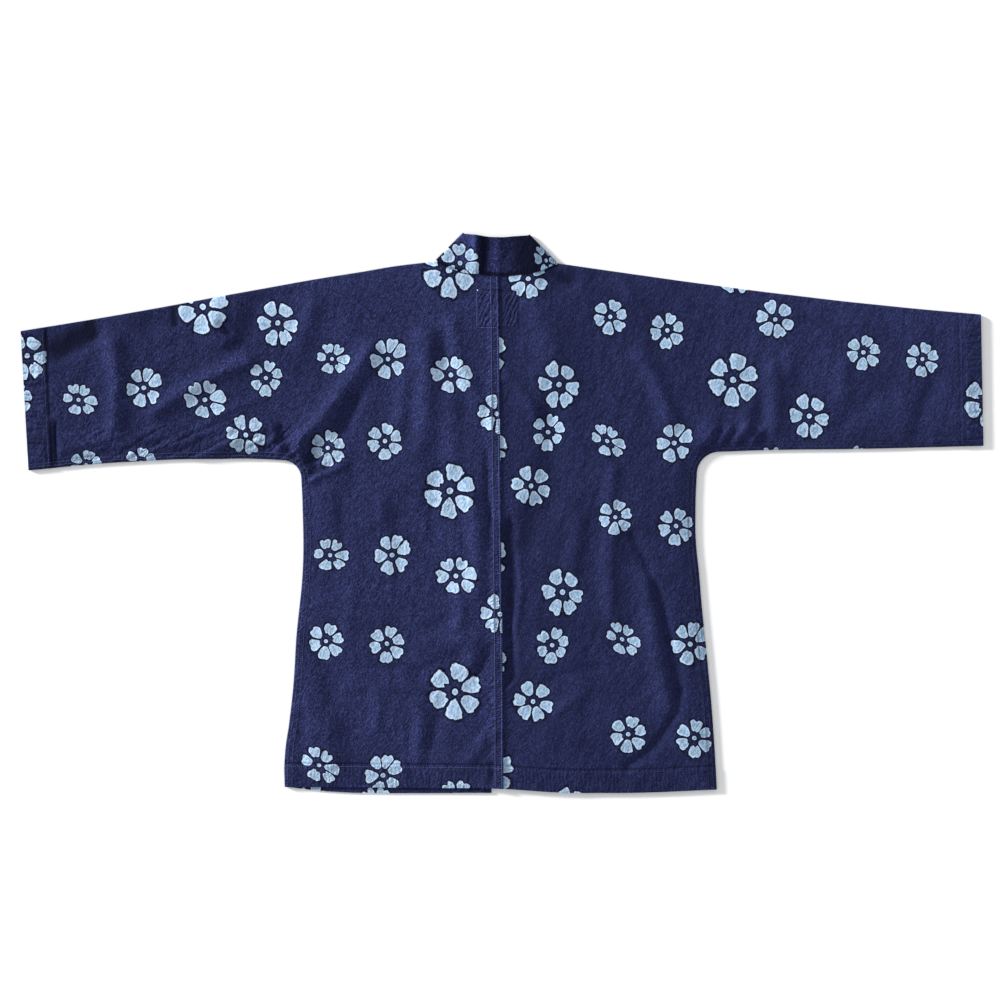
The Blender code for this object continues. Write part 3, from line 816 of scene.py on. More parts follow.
class Cloth:
    """Points of a cloth, each with an outer and an inner place, and the quads between them."""

    def __init__(self, side=1):
        self.side = side
        self.outer = []
        self.inner = []
        self.count = 0
        self.quads = []
        self.prints = []
        self.gathers = []
        self.folds = []

    def points(self, outer, inner, gather, fold):
        """Adds points and returns their numbers. gather says how the cloth is puckered there, fold how much
        painted light or shade the colour gets, on the scale of a fold's rise in millimetres: raised folds
        paler, sunk ones and seam grooves darker, with the rubbed seam and the sleeves' tone on the same
        scale."""
        numbers = self.count + np.arange(outer[..., 0].size).reshape(outer.shape[:-1])
        self.outer.append(outer.reshape(-1, 3))
        self.inner.append(inner.reshape(-1, 3))
        self.gathers.append(gather.reshape(-1, 3))
        self.folds.append(fold.reshape(-1))
        self.count += numbers.size
        return numbers

    def join(self, numbers, print_number):
        """Quads between neighbouring columns and rows of numbers. A number below 0 is an empty place."""
        quads = np.stack([numbers[:-1, :-1], numbers[1:, :-1], numbers[1:, 1:], numbers[:-1, 1:]], axis=-1)
        quads = quads.reshape(-1, 4)
        quads = quads[(quads >= 0).all(axis=1)]
        self.quads.append(quads)
        self.prints.append(np.full(len(quads), print_number))

    def layer(self, places, outer, inner, gather, fold, print_number):
        """A grid of points with quads. outer and inner are heights."""
        there = ~np.isnan(places[..., 0])
        numbers = np.full(places.shape[:2], -1)
        with_height = [np.concatenate([places, high[..., None]], axis=-1)[there] for high in (outer, inner)]
        numbers[there] = self.points(*with_height, gather[there], fold[there])
        self.join(numbers, print_number)
        return numbers

    def roll(self, upper, lower, ways_out, reach, wall):
        """Curves the cloth from a row of the upper layer round to the same row of the lower one."""
        outer, inner, gathers, folds = self.so_far()
        rows = [upper]
        for angle in steps(pi / 2, -pi / 2, ROLL_STEPS)[:-1]:
            skins = []
            for skin, radius in ((outer, reach), (inner, reach - wall)):
                high, low = skin[upper], skin[lower]
                flat = high[:, :2] + ways_out * radius * cos(angle)
                height = (high[:, 2] + low[:, 2]) / 2 + (high[:, 2] - low[:, 2]) / 2 * sin(angle)
                skins.append(np.column_stack([flat, height]))
            rows.append(self.points(*skins, gathers[upper], folds[upper]))
        rows.append(lower)
        self.join(np.array(rows), SHOWN)

    def so_far(self):
        """The outer and inner places, the gathers and the folds of all points."""
        return [np.concatenate(part) for part in (self.outer, self.inner, self.gathers, self.folds)]

    def rims(self, quads):
        """Each open edge of the quads, as its two points and its quad."""
        ends = np.concatenate([np.stack([quads[:, n], quads[:, (n + 1) % 4]], axis=1) for n in range(4)])
        owner = np.tile(np.arange(len(quads)), 4)
        key = np.sort(ends, axis=1) @ np.array((self.count, 1))
        _, first, times = np.unique(key, return_index=True, return_counts=True)
        open_edges = first[times == 1]
        return ends[open_edges], owner[open_edges]

    def solid(self, name, cotton, print_lists):
        """Both skins and a rim along each open edge as one closed mesh, with the print on its corners."""
        outer, inner, gathers, folds = self.so_far()
        quads, prints = np.concatenate(self.quads), np.concatenate(self.prints)
        flip = np.array((self.side, 1.0, 1.0))
        places = np.concatenate([outer, inner]) * flip

        def facing(faces, away):
            """Turns faces over where they face against away."""
            a, b, c, d = (places[faces[:, n]] for n in range(4))
            wrong = np.einsum("ij,ij->i", np.cross(c - a, d - b), away) < 0
            faces[wrong] = faces[wrong][:, ::-1]
            return faces

        through = (outer[quads].mean(axis=1) - inner[quads].mean(axis=1)) * flip
        ends, owner = self.rims(quads)
        rim = np.column_stack([ends, ends[:, ::-1] + self.count])
        outwards = places[rim].mean(axis=1) - places[quads[owner]].mean(axis=1)
        faces = np.concatenate(
            [facing(quads.copy(), through), facing(quads + self.count, -through), facing(rim, outwards)]
        )
        piece = made_of(name, places, faces.tolist(), cotton)
        mesh = piece.data
        mesh.shade_smooth()
        mesh.set_sharp_from_angle(angle=radians(CRISP_FROM))
        print_of_face = np.concatenate([prints, prints, prints[owner]])
        write_print(mesh, places[:, :2], faces, print_of_face, print_lists)
        gather = mesh.attributes.new("gather", "FLOAT_VECTOR", "POINT")
        gather.data.foreach_set("vector", np.concatenate([gathers, gathers]).ravel())
        # the painted light and shade of each point, which the cloth's colour reads
        fold = mesh.attributes.new("fold", "FLOAT", "POINT")
        fold.data.foreach_set("value", np.concatenate([folds, folds]))
        return piece


def write_print(mesh, places, faces, print_of_face, print_lists):
    """Stores on each face's corners where they lie in the nearest flower and in its two nearest petals."""
    corners = places[faces]
    middles = corners.mean(axis=1)
    nearest = np.full(len(faces), PRINT_REACH)
    bloom = np.full((len(faces), 4, 3), FAR_OFF)
    petals = [np.full((len(faces), 4, 3), FAR_OFF) for _ in range(2)]
    forms = [np.zeros((len(faces), 4, 3)) for _ in range(2)]
    for number, flowers in enumerate(print_lists):
        for flower in flowers:
            seen = flower.seen_from(middles)
            away = np.linalg.norm(seen, axis=1)
            found = np.flatnonzero((away < nearest) & (print_of_face == number))
            nearest[found] = away[found]
            seen_corners = flower.seen_from(corners[found])
            bloom[found] = np.pad(seen_corners, ((0, 0), (0, 0), (0, 1)))
            rows = np.array(flower.petals, float)
            angles = np.degrees(np.arctan2(seen[found, 1], seen[found, 0]))
            apart = np.abs((angles[:, None] - rows[None, :, 0] + 180) % 360 - 180)
            order = np.argsort(apart, axis=1)
            for rank in (0, 1):
                petal = rows[order[:, rank]]
                way = np.radians(petal[:, 0])[:, None]
                along = seen_corners[..., 0] * np.cos(way) + seen_corners[..., 1] * np.sin(way)
                aside = seen_corners[..., 1] * np.cos(way) - seen_corners[..., 0] * np.sin(way)
                petals[rank][found, :, 0] = along / petal[:, 2, None]
                petals[rank][found, :, 1] = aside / petal[:, 3, None]
                petals[rank][found, :, 2] = (petal[:, 1] / petal[:, 2])[:, None]
                forms[rank][found] = petal[:, None, 4:7]
    for name, values in (
        ("bloom", bloom),
        ("petal_1", petals[0]),
        ("petal_2", petals[1]),
        ("form_1", forms[0]),
        ("form_2", forms[1]),
    ):
        attribute = mesh.attributes.new(name, "FLOAT_VECTOR", "CORNER")
        attribute.data.foreach_set("vector", values.ravel())


def add_node(tree, kind, *values, result=0, **named):
    """Adds a node and gives its result. values go to its first sockets in order. A name with a capital is a
    socket's, and any other name is a setting's."""
    made = tree.nodes.new("ShaderNode" + kind)
    for name in filter(str.islower, named):
        setattr(made, name, named[name])
    sockets = [(name, value) for name, value in named.items() if not name.islower()]
    for place, value in (*enumerate(values), *sockets):
        if isinstance(value, bpy.types.NodeSocket):
            tree.links.new(value, made.inputs[place])
        else:
            made.inputs[place].default_value = value
    return made.outputs[result]


def petal_shape():
    """Says how far a point lies outside a petal (below 0 is inside), in shares of the petal's length. Its
    sides widen from the inner end, every corner is rounded, and either end may be notched."""
    group = bpy.data.node_groups.new("petal shape", "ShaderNodeTree")
    node = partial(add_node, group)
    face = group.interface
    for name in ("Place", "Form"):
        face.new_socket(name, in_out="INPUT", socket_type="NodeSocketVector")
    face.new_socket("Outside", in_out="OUTPUT", socket_type="NodeSocketFloat")
    given = group.nodes.new("NodeGroupInput").outputs
    along, aside, inner = node("SeparateXYZ", given["Place"], result=slice(3))
    notch, lean, cleft = node("SeparateXYZ", given["Form"], result=slice(3))

    def dip(depth, aside_by, width):
        """A rounded notch of a depth, somewhat aside of the petal's middle."""
        share = node("Math", node("Math", aside, aside_by, operation="SUBTRACT"), width, operation="DIVIDE")
        square = node("Math", node("Math", share, operation="ABSOLUTE"), 2.0, operation="POWER")
        fall = node("Math", node("Math", square, -1.0, operation="MULTIPLY"), operation="EXPONENT")
        return node("Math", depth, fall, operation="MULTIPLY")

    cut = PETAL_CUT
    beside = node("Math", aside, operation="ABSOLUTE")
    width = node("Math", along, cut.sides_meet, operation="SUBTRACT")
    width = node("Math", node("Math", width, 0.0, operation="MAXIMUM"), cut.swell, operation="POWER")
    width = node("Math", width, cut.spread, operation="MULTIPLY")
    side = node("Math", beside, width, operation="SUBTRACT")
    side = node("Math", side, cut.side_pull, operation="MULTIPLY")
    notched = dip(node("Math", notch, cut.least_notch, operation="ADD"), 0.0, cut.notch_width)
    reach = node("Math", aside, lean, 1.0, operation="MULTIPLY_ADD")
    reach = node("Math", reach, notched, operation="SUBTRACT")
    droop = node("Math", node("Math", beside, 2.0, operation="POWER"), cut.droop, operation="MULTIPLY")
    reach = node("Math", reach, droop, operation="SUBTRACT")
    end = node("Math", along, reach, operation="SUBTRACT")
    whole = node("Math", side, end, cut.end_rounding, operation="SMOOTH_MAX")
    start = node("Math", inner, dip(cleft, cut.cleft_aside, cut.cleft_width), operation="ADD")
    start = node("Math", start, along, operation="SUBTRACT")
    whole = node("Math", whole, start, cut.start_rounding, operation="SMOOTH_MAX")
    group.links.new(whole, group.nodes.new("NodeGroupOutput").inputs["Outside"])
    return group


# Materials. Resist-printed cotton is matt, with a faint bluish bloom of fibres.
COTTON_SURFACE = {
    "Roughness": 0.9,
    "Specular IOR Level": 0.08,
    "Sheen Weight": 0.03,
    "Sheen Roughness": 0.5,
    "Sheen Tint": colour_of("8C96D8"),
}
# The three cuts are dyed apart as painted light and shade: the left half paler where it faces the light, the
# right half darker and the collar darkest where they lie in shade. Columns: the dye between the slubs, on the
# cloth and on the slubs, the resist in its mottles and beside them, and how deep the weave is in millimetres.
COTTONS = {
    "left": ("151833", "22274B", "353C6A", "6B89A8", "A7BDD4", 1.9),
    "right": ("151833", "1E2345", "2D335C", "6587A8", "A1B7CE", 1.35),
    "collar": ("0D1026", "1D2142", "363D70", "627F9E", "9DB3CB", 0.6),
}
# The darkest dye, at a petal's halo, is also the painted shade in deep folds and seam grooves
DARKEST_DYE_AND_PAINTED_SHADE = "06081C"
PALEST_RESIST = "BED2E8"
# The petals' painted shade in sunk folds and seam grooves
SHADED_RESIST = "3E5878"
# Patterns of the cloth. Columns: blots to the metre, detail, roughness, how far they are drawn out, and along
# which way in degrees. Real slubs and threads are under 1 mm wide, too fine to show in the photo's frame, so
# they are drawn 1.6 to 1.7 mm wide.
PATTERNS = {
    "fine wobble": (450.0, 1.0, 0.5, 1.0, 0.0),
    "broad wobble": (125.0, 0.0, 0.5, 1.0, 0.0),
    "slubs": (590.0, 1.0, 0.5, 2.4, 54.0),
    "threads": (640.0, 1.0, 0.5, 1.5, -8.0),
    "patches": (16.0, 3.0, 0.55, 1.0, 0.0),
    "mottles": (380.0, 3.0, 0.6, 1.6, 75.0),
    "swells": (20.0, 2.0, 0.5, 2.4, 78.0),
    "crumples": (75.0, 3.0, 0.55, 1.8, 60.0),
    "creases": (52.0, 2.0, 0.5, 2.2, 62.0),
}
# Every share in the cloth's looks runs smoothly from where it begins to where it is full
SMOOTH = {"interpolation_type": "SMOOTHSTEP"}
# Print, in shares of a petal's length or of the flower's radius
WOBBLE_RANGE = (0.25, 0.75)
FINE_WOBBLE = 0.009
BROAD_WOBBLE = 0.02
PETAL_GAP = 0.045  # half the dyed gap between two petals
DOT_RADIUS = 0.115
PRINT_SOFTNESS = 0.012
# Where the paler rim and the darker halo of a print begin and where they are full, and how strong they are
RIM = (-0.09, -0.02)
RIM_STRENGTH = 0.55
HALO = (0.1, 0.025)
HALO_STRENGTH = 0.95
# Shades of the weave, from the dye between the slubs to the slubs, with the folds' painted light and shade
# added
SLUB_SHARE = 0.6
THREAD_SHARE = 0.4
PAINTED_LIGHT_PER_FOLD = 0.011  # painted light for each millimetre that the cloth is raised, painted shade for each it is sunk
DARK_SHADES = (0.34, 0.50)
LIGHT_SHADES = (0.50, 0.66)
# Where other shares begin and where they are full, and what they give there when that isn't 0 and 1
PATCHES = (0.42, 0.72, 0.0, 0.4)
# Painted shade: the cloth darkens towards the darkest dye in deep sunk folds and seam grooves
PAINTED_SHADE_IN_FOLDS = (-7.0, -16.0, 0.0, 0.7)
MOTTLES = (0.28, 0.68)
# Painted shade on the petals in sunk folds and seam grooves
PAINTED_SHADE_ON_RESIST = (-4.0, -13.0, 0.0, 0.5)
CREASE_LINES = (0.045, 0.0)
# Relief in millimetres. A pair gives what is added where the cloth is puckered, and what all of it has.
SWELLS = 5.0
CRUMPLES = (4.0, 2.4)
CREASES = (-0.6, -0.12)
WEAVE_UNDER_PRINT = 0.4  # the share of the weave's depth that the petals keep
# How uneven the puckers are: noise, how far it shifts a ridge in radians, and the shares of their height
PUCKER_NOISE = {"Scale": 0.45, "Detail": 1.0, "Roughness": 0.5}
PUCKER_DRIFT = 7.0
PUCKER_STRENGTHS = (0.3, 0.6, 0.35, 1.0)


def new_material(name, surface):
    """A material, its nodes and its shader. surface gives the shader's own values by name."""
    material = bpy.data.materials.new(name)
    material.use_nodes = True
    tree = material.node_tree
    shader = tree.nodes["Principled BSDF"]
    for socket, value in surface.items():
        shader.inputs[socket].default_value = value
    return material, tree, shader


def resist_printed_cotton(name, petal, dark, body, light, pale, paler, relief):
    """Crepe-woven cotton dyed in indigo around a resist: the weave's short slubs are paler, partly in their
    own tone and partly as painted light on their relief, dye gathers darker at the edge of each petal, and
    the resisted petals stay pale and a little mottled. The fold attribute paints light and shade into the
    colour."""
    material, tree, shader = new_material(name, COTTON_SURFACE)
    node = partial(add_node, tree)
    place = node("TexCoord", result="Object")
    bloom, gather = (node("Attribute", attribute_name=word, result="Vector") for word in ("bloom", "gather"))
    # painted light and shade of each point
    fold = node("Attribute", attribute_name="fold", result="Fac")

    def pattern(name):
        """A pattern of the cloth, drawn out along its way."""
        scale, detail, roughness, stretch, lean = PATTERNS[name]
        turn = (0.0, 0.0, radians(lean))
        drawn = node("Mapping", vector_type="TEXTURE", Vector=place, Rotation=turn, Scale=(stretch, 1.0, 1.0))
        return node("TexNoise", Vector=drawn, Scale=scale, Detail=detail, Roughness=roughness)

    def outside_petal(number):
        """How far a point lies outside the nearest petal or the next one."""
        names = ("petal_" + number, "form_" + number)
        at, form = (node("Attribute", attribute_name=word, result="Vector") for word in names)
        return node("Group", node_tree=petal, Place=at, Form=form)

    def covered(colour, covers):
        """A colour with others over it, each in its own share."""
        for share, code in covers:
            colour = node("Mix", Factor=share, A=colour, B=colour_of(code), data_type="RGBA", result="Result")
        return colour

    # Print: the nearest two petals with the dyed gap between them, and the flower's middle
    fine = node("MapRange", pattern("fine wobble"), *WOBBLE_RANGE, -FINE_WOBBLE, FINE_WOBBLE, **SMOOTH)
    broad = node("MapRange", pattern("broad wobble"), *WOBBLE_RANGE, -BROAD_WOBBLE, BROAD_WOBBLE, **SMOOTH)
    wobble = node("Math", fine, broad, operation="ADD")
    first, second = outside_petal("1"), outside_petal("2")
    apart = node("Math", node("Math", first, second, operation="SUBTRACT"), operation="ABSOLUTE")
    gap = node("Math", apart, -0.5, PETAL_GAP, operation="MULTIPLY_ADD")
    away = node("Math", node("Math", first, second, operation="MINIMUM"), gap, operation="MAXIMUM")
    away = node("Math", away, wobble, operation="ADD")
    from_middle = node("VectorMath", bloom, operation="LENGTH", result="Value")
    dot = node("Math", from_middle, DOT_RADIUS, operation="SUBTRACT")
    dot = node("Math", wobble, 0.5, dot, operation="MULTIPLY_ADD")
    away = node("Math", away, dot, operation="MINIMUM")
    printed = node("MapRange", away, PRINT_SOFTNESS, -PRINT_SOFTNESS, **SMOOTH)
    rim = node("Math", printed, node("MapRange", away, *RIM, **SMOOTH), operation="MULTIPLY")
    halo = node("MapRange", away, *HALO, **SMOOTH)

    # Colour of the cloth: slubs and threads, painted light on raised folds and painted shade in sunk ones and
    # in seam grooves
    threads = node("Math", pattern("threads"), THREAD_SHARE, operation="MULTIPLY")
    weave = node("Math", pattern("slubs"), SLUB_SHARE, threads, operation="MULTIPLY_ADD")
    # the weave's tone plus the folds' painted light and shade
    shade = node("Math", fold, PAINTED_LIGHT_PER_FOLD, weave, operation="MULTIPLY_ADD")
    covers = [
        (node("MapRange", shade, *DARK_SHADES, **SMOOTH), body),
        (node("MapRange", shade, *LIGHT_SHADES, **SMOOTH), light),
        (node("MapRange", pattern("patches"), *PATCHES, **SMOOTH), dark),
        (node("Math", halo, HALO_STRENGTH, operation="MULTIPLY"), DARKEST_DYE_AND_PAINTED_SHADE),
        # painted shade in deep folds and grooves
        (node("MapRange", fold, *PAINTED_SHADE_IN_FOLDS, **SMOOTH), DARKEST_DYE_AND_PAINTED_SHADE),
    ]
    cloth = covered(colour_of(dark), covers)

    # Colour of the petals: mottled, palest at the rim, and with painted shade in sunk folds and seam grooves
    covers = [
        (node("MapRange", pattern("mottles"), *MOTTLES, **SMOOTH), paler),
        (node("Math", rim, RIM_STRENGTH, operation="MULTIPLY"), PALEST_RESIST),
        (node("MapRange", fold, *PAINTED_SHADE_ON_RESIST, **SMOOTH), SHADED_RESIST),
    ]
    petals = covered(colour_of(pale), covers)
    colour = node("Mix", Factor=printed, A=cloth, B=petals, data_type="RGBA", result="Result")
    tree.links.new(colour, shader.inputs["Base Color"])

    # Relief: puckers where a seam gathers the cloth, the weave, soft swells, crumples and fine creases
    along, across, strength = node("SeparateXYZ", gather, result=slice(3))
    uneven = node("TexNoise", Vector=node("CombineXYZ", along, across), **PUCKER_NOISE)
    turn = node("Math", along, pi, operation="MULTIPLY")
    turn = node("Math", uneven, PUCKER_DRIFT, turn, operation="MULTIPLY_ADD")
    swelling = node("Math", node("Math", turn, operation="SINE"), operation="ABSOLUTE")
    swelling = node("Math", swelling, 2.0, -1.0, operation="MULTIPLY_ADD")
    height = node("MapRange", uneven, *PUCKER_STRENGTHS, **SMOOTH)
    height = node("Math", swelling, height, operation="MULTIPLY")
    height = node("Math", height, strength, operation="MULTIPLY")
    off_line = node("Math", pattern("creases"), 0.5, operation="SUBTRACT")
    lines = node("MapRange", node("Math", off_line, operation="ABSOLUTE"), *CREASE_LINES, **SMOOTH)
    forms = [
        (weave, node("MapRange", printed, 0.0, 1.0, relief, relief * WEAVE_UNDER_PRINT, **SMOOTH)),
        (pattern("swells"), SWELLS),
        (pattern("crumples"), node("Math", strength, *CRUMPLES, operation="MULTIPLY_ADD")),
        (lines, node("Math", strength, *CREASES, operation="MULTIPLY_ADD")),
    ]
    for form, depth in forms:
        height = node("Math", form, depth, height, operation="MULTIPLY_ADD")
    tree.links.new(node("Bump", Height=height, Strength=1.0, Distance=MM), shader.inputs["Normal"])
    return material


def sewing_cotton(name, code):
    """Matt spun thread, a little lighter than the cloth, so that each stitch shows as a small dash."""
    return new_material(name, {"Base Color": colour_of(code), "Roughness": 0.7})[0]


# Puckers where a seam or a crease gathers the cloth. Columns: how far apart their ridges are and how high, in
# millimetres, how much they change along their length, and the way across them (sideways, up).
PUCKERS = {
    "hem": (6.0, 0.24, 0.45, (1.0, 0.0)),
    "cuff": (9.0, 0.8, 0.45, (0.0, 1.0)),
    "closed seam": (4.6, 0.5, 0.15, (1.0, 1.0)),
    "lap": (3.9, 0.6, 0.15, (0.3, 0.95)),
    "beside the lap": (6.5, 0.59, 0.6, (-0.6, 0.8)),
    "label": (6.2, 0.9, 0.6, (0.9, -0.4)),
    "armpit": (11.0, 1.9, 0.15, (0.64, 0.77)),
    "under the sleeve": (13.0, 1.2, 0.15, (0.45, 0.89)),
    "collar seam": (5.0, 0.15, 0.15, (1.0, 0.0)),
}
# How far beyond the turned edges the puckers reach
HEM_FADE = 6.0
CUFF_FADE = 4.0
CUFF_SHIFT = 8.0
# From where and over what width the puckers beside the closed seams and the middle seam fade out
SEAM_PUCKERS = (13.0, 3.0)
LAP_PUCKERS = (30.0, 24.0)
LAP_EDGE = 1.5
LABEL_EDGE = 4.0
# The crumpled left armpit and the cloth under the left sleeve: middle or ends, and the width of the fade
ARMPIT_MIDDLE = (296.0, 84.0)
ARMPIT_REACH = (58.0, 36.0)
UNDER_SLEEVE_TOP = (138.0, 40.0)
UNDER_SLEEVE_START = (325.0, 20.0)
UNDER_SLEEVE_END = (610.0, 60.0)
# Up to where the collar's seam puckers it, and over what width that fades, in shares of the collar's width
COLLAR_PUCKERS = (0.3, 0.2)
GROOVE_STRIPS = 1.5  # how wide the painted shade in the groove beside that seam is


def gather_field(up, rows):
    """How the cloth is puckered: places across and down the ridges in shares of their spacing, and their
    height in millimetres. The strongest puckers win. rows gives the puckers' name, places sideways and down
    the ridges, and a share of their height."""
    field = np.zeros((*up.shape, 3))
    for name, sideways, down, share in rows:
        spacing, height, change, way = PUCKERS[name]
        values = ((way[0] * sideways + way[1] * up) / spacing, down / spacing * change, height * share)
        stronger = values[2] > field[..., 2]
        for n in range(3):
            field[..., n] = np.where(stronger, values[n], field[..., n])
    return field


def within(edge, where):
    """1 well within an edge and 0 beyond it. edge gives its place and the width over which that fades."""
    place, fade = edge
    return eased((place - where) / fade)


def back_gathers(outline, grids):
    """Puckers of the back: in the hem, the cuff and the felled seams, beside them, and under the label."""
    out, up = grids.back[..., 0], grids.back[..., 1]
    x = outline.side * out
    from_hem = up - back_hem(x)
    from_cuff = outline.cuff_bottom + CUFF_SHIFT - out
    from_middle = out - outline.start(up)
    from_seam = outline.seam_distance(out, up)
    left, top = charted(LABEL[0], LABEL[2])
    right, bottom = charted(LABEL[1], LABEL[3])
    in_label = eased(np.minimum(x - left, right - x) / LABEL_EDGE + 0.5)
    in_label = in_label * eased(np.minimum(top - up, up - bottom) / LABEL_EDGE + 0.5)
    in_lap = eased((LAP_WIDTH - from_middle) / LAP_EDGE + 0.5) * (not outline.lies_under)
    from_armpit = np.hypot(out - ARMPIT_MIDDLE[0], up - ARMPIT_MIDDLE[1])
    at_armpit = within(ARMPIT_REACH, from_armpit) * (outline.side < 0)
    start, fade = UNDER_SLEEVE_START
    under_sleeve = within(UNDER_SLEEVE_TOP, up) * eased((out - start) / fade) * within(UNDER_SLEEVE_END, out)
    under_sleeve = under_sleeve * (outline.side < 0)

    def down(name):
        """Places down the ridges of puckers that follow no seam."""
        way = PUCKERS[name][-1]
        return way[0] * up - way[1] * out

    rows = [
        ("hem", out, from_hem, within((HEM_WIDTH + HEM_FADE, HEM_FADE), from_hem)),
        ("cuff", out, from_cuff, within((CUFF_WIDTH + CUFF_FADE, CUFF_FADE), from_cuff)),
        ("closed seam", out, from_seam, within(SEAM_PUCKERS, from_seam)),
        ("lap", out, from_middle, in_lap),
        ("beside the lap", x, from_middle, within(LAP_PUCKERS, from_middle)),
        ("label", x, up, in_label),
        ("armpit", out, down("armpit"), at_armpit),
        ("under the sleeve", out, down("under the sleeve"), under_sleeve),
    ]
    return gather_field(up, rows)


def make_half(half, outline, grids, cotton, print_lists):
    """One half of the jacket, and its back's upper points for the stitches."""
    cloth = Cloth(half.side)
    columns, rows = np.indices(grids.back.shape[:2])
    last_column = len(grids.back) - 1
    shift = grids.neck_column

    lapped = columns <= LAP_COLUMNS
    cuff_column = last_column - CUFF_COLUMNS
    hemmed = ~(lapped & half.lies_under)
    turned = (columns >= cuff_column) | ((rows <= HEM_ROWS) & hemmed)
    out, up = grids.back[..., 0], grids.back[..., 1]
    lap_share = eased((LAP_WIDTH + LAP_SLOPE - (out - outline.start(up))) / LAP_SLOPE)
    top = outline.back_height(out, up) + LAP * lap_share * (not half.lies_under)
    # The fold attribute paints the colour: painted light on raised folds and painted shade in sunk ones,
    # painted shade in the groove below the neck seam and beside the turned hem and cuff, the lap paler where
    # the middle seam rubs, and each sleeve paler or darker towards its cuff.
    below_neck = np.where(out < outline.neck_side, neck(half.side * out) - up, SEAM_REACH)
    folds = fold_rise(half.side * out, up) - SEAM_PAINTED_SHADE * eased(1 - below_neck / SEAM_REACH)
    beside_turned = ((rows == HEM_ROWS + 1) & hemmed) | (columns == cuff_column - 1)
    folds += SEAM_FADE * (lapped & (not half.lies_under)) - SEAM_PAINTED_SHADE * beside_turned
    folds += half.sleeve_tone * eased((out - SLEEVE_TONE_START) / SLEEVE_TONE_REACH)
    upper = top + TURN * turned
    back = cloth.layer(grids.back, upper, top - CLOTH, back_gathers(outline, grids), folds, SHOWN)

    front_columns, front_rows = np.indices(grids.front.shape[:2])
    front_turned = (front_rows <= HEM_ROWS) | (front_columns + shift >= cuff_column)
    still = np.zeros((*front_turned.shape, 3))
    low = np.zeros(front_turned.shape)
    front = cloth.layer(grids.front, low, CLOTH + TURN * front_turned, still, low, HIDDEN)
    cloth.roll(back[shift:, -1], front[:, -1], grids.fold.ways_out, ROLL, CLOTH)
    side, armpit = grids.side_column, grids.armpit_row
    closed = [
        np.concatenate([layer[column, : armpit + 1], layer[column + 1 :, armpit]])
        for layer, column in ((back, side), (front, side - shift))
    ]
    cloth.roll(*closed, grids.closed.ways_out, ROLL, CLOTH)
    piece = cloth.solid(half.name + "_cotton", cotton, print_lists)
    surface = np.concatenate([grids.back, upper[..., None]], axis=-1)
    surface[..., 0] *= half.side
    return piece, surface


def fold_line(side):
    """A slanting fold of the collar: its ends inside the curve, at the seam and free, and the way out."""
    free_end, seam_end = (np.array(place) for place in COLLAR_FOLDS[side])
    along = (free_end - seam_end) / np.linalg.norm(free_end - seam_end)
    way = np.array((-along[1], along[0])) * -side
    return seam_end - COLLAR_ROLL * way, free_end - COLLAR_ROLL * way, way


def standing_part():
    """Rows of the standing collar from the left fold to the right one: seam ends and free ends."""
    (left_seam, left_free, _), (right_seam, right_free, _) = fold_line(-1), fold_line(1)
    share = np.linspace(0.0, 1.0, STANDING_ROWS + 1)
    x = left_seam[0] + share * (right_seam[0] - left_seam[0])
    seam = paired(x, neck(x) + GAP / 2)
    x = left_free[0] + share * (right_free[0] - left_free[0])
    free = paired(x, collar_top(x))
    seam[0], seam[-1], free[0], free[-1] = left_seam, right_seam, left_free, right_free
    return seam, free


def band_part(side, outline):
    """Rows of a band under the front's edge, from the slanting fold to the hem: seam ends and free ends."""
    seam_end, free_end, _ = fold_line(side)
    free_hem, hem = BAND_ENDS[side]
    first = seam_end[1] - JOIN_DROP
    ups = np.array([first] + steps(first, hem, BAND_ROWS))
    share = (seam_end[1] - ups) / (seam_end[1] - hem)
    seam = paired(side * (outline.front_edge(ups) - GAP), ups)
    free = free_end + share[:, None] * (np.array((side * free_hem, hem)) - free_end)
    return np.concatenate([[seam_end], seam]), np.concatenate([[free_end], free])


def make_collar(outlines, cotton, print_lists):
    """The doubled collar: two bands under the fronts' edges, and the standing part that folds over at both
    neck sides."""
    cloth = Cloth()
    strip = np.linspace(0.0, 1.0, COLLAR_STRIPS + 1)

    def rows_of(seam, free):
        """Points [row, strip] from the seam to the free edge."""
        return seam[:, None] + strip[None, :, None] * (free - seam)[:, None]

    under = {}
    for side in (-1, 1):
        flat = rows_of(*band_part(side, outlines[side]))
        still = np.zeros((*flat.shape[:2], 3))
        low = np.zeros(flat.shape[:2])
        under[side] = cloth.layer(flat, low, low + BAND, still, low, HIDDEN)
    flat = rows_of(*standing_part())
    x, up = flat[..., 0], flat[..., 1]
    left, right = COLLAR_TOP[0][0], COLLAR_TOP[-1][0]
    wave = collar_wave(np.clip((x - left) / (right - left), 0.0, 1.0))
    high = COLLAR_HEIGHT + wave * (SEAM_SHARE + (1 - SEAM_SHARE) * strip)
    near_seam = np.broadcast_to(within(COLLAR_PUCKERS, strip), high.shape)
    gather = gather_field(up, [("collar seam", x, up, near_seam)])
    # The fold attribute here carries painted light and shade where the collar faces towards or away from the
    # light, and painted shade in the groove beside its seam.
    in_groove = strip < GROOVE_STRIPS / COLLAR_STRIPS
    fade = collar_painted_light_and_shade(x / CHART + CHART_ZERO[0]) - SEAM_PAINTED_SHADE * in_groove
    standing = cloth.layer(flat, high, high - BAND, gather, fade, SHOWN)
    for side, row in ((-1, standing[0]), (1, standing[-1])):
        ways = np.tile(fold_line(side)[2], (len(strip), 1))
        cloth.roll(row, under[side][0], ways, COLLAR_ROLL, BAND)
    return cloth.solid("collar_cotton", cotton, print_lists)


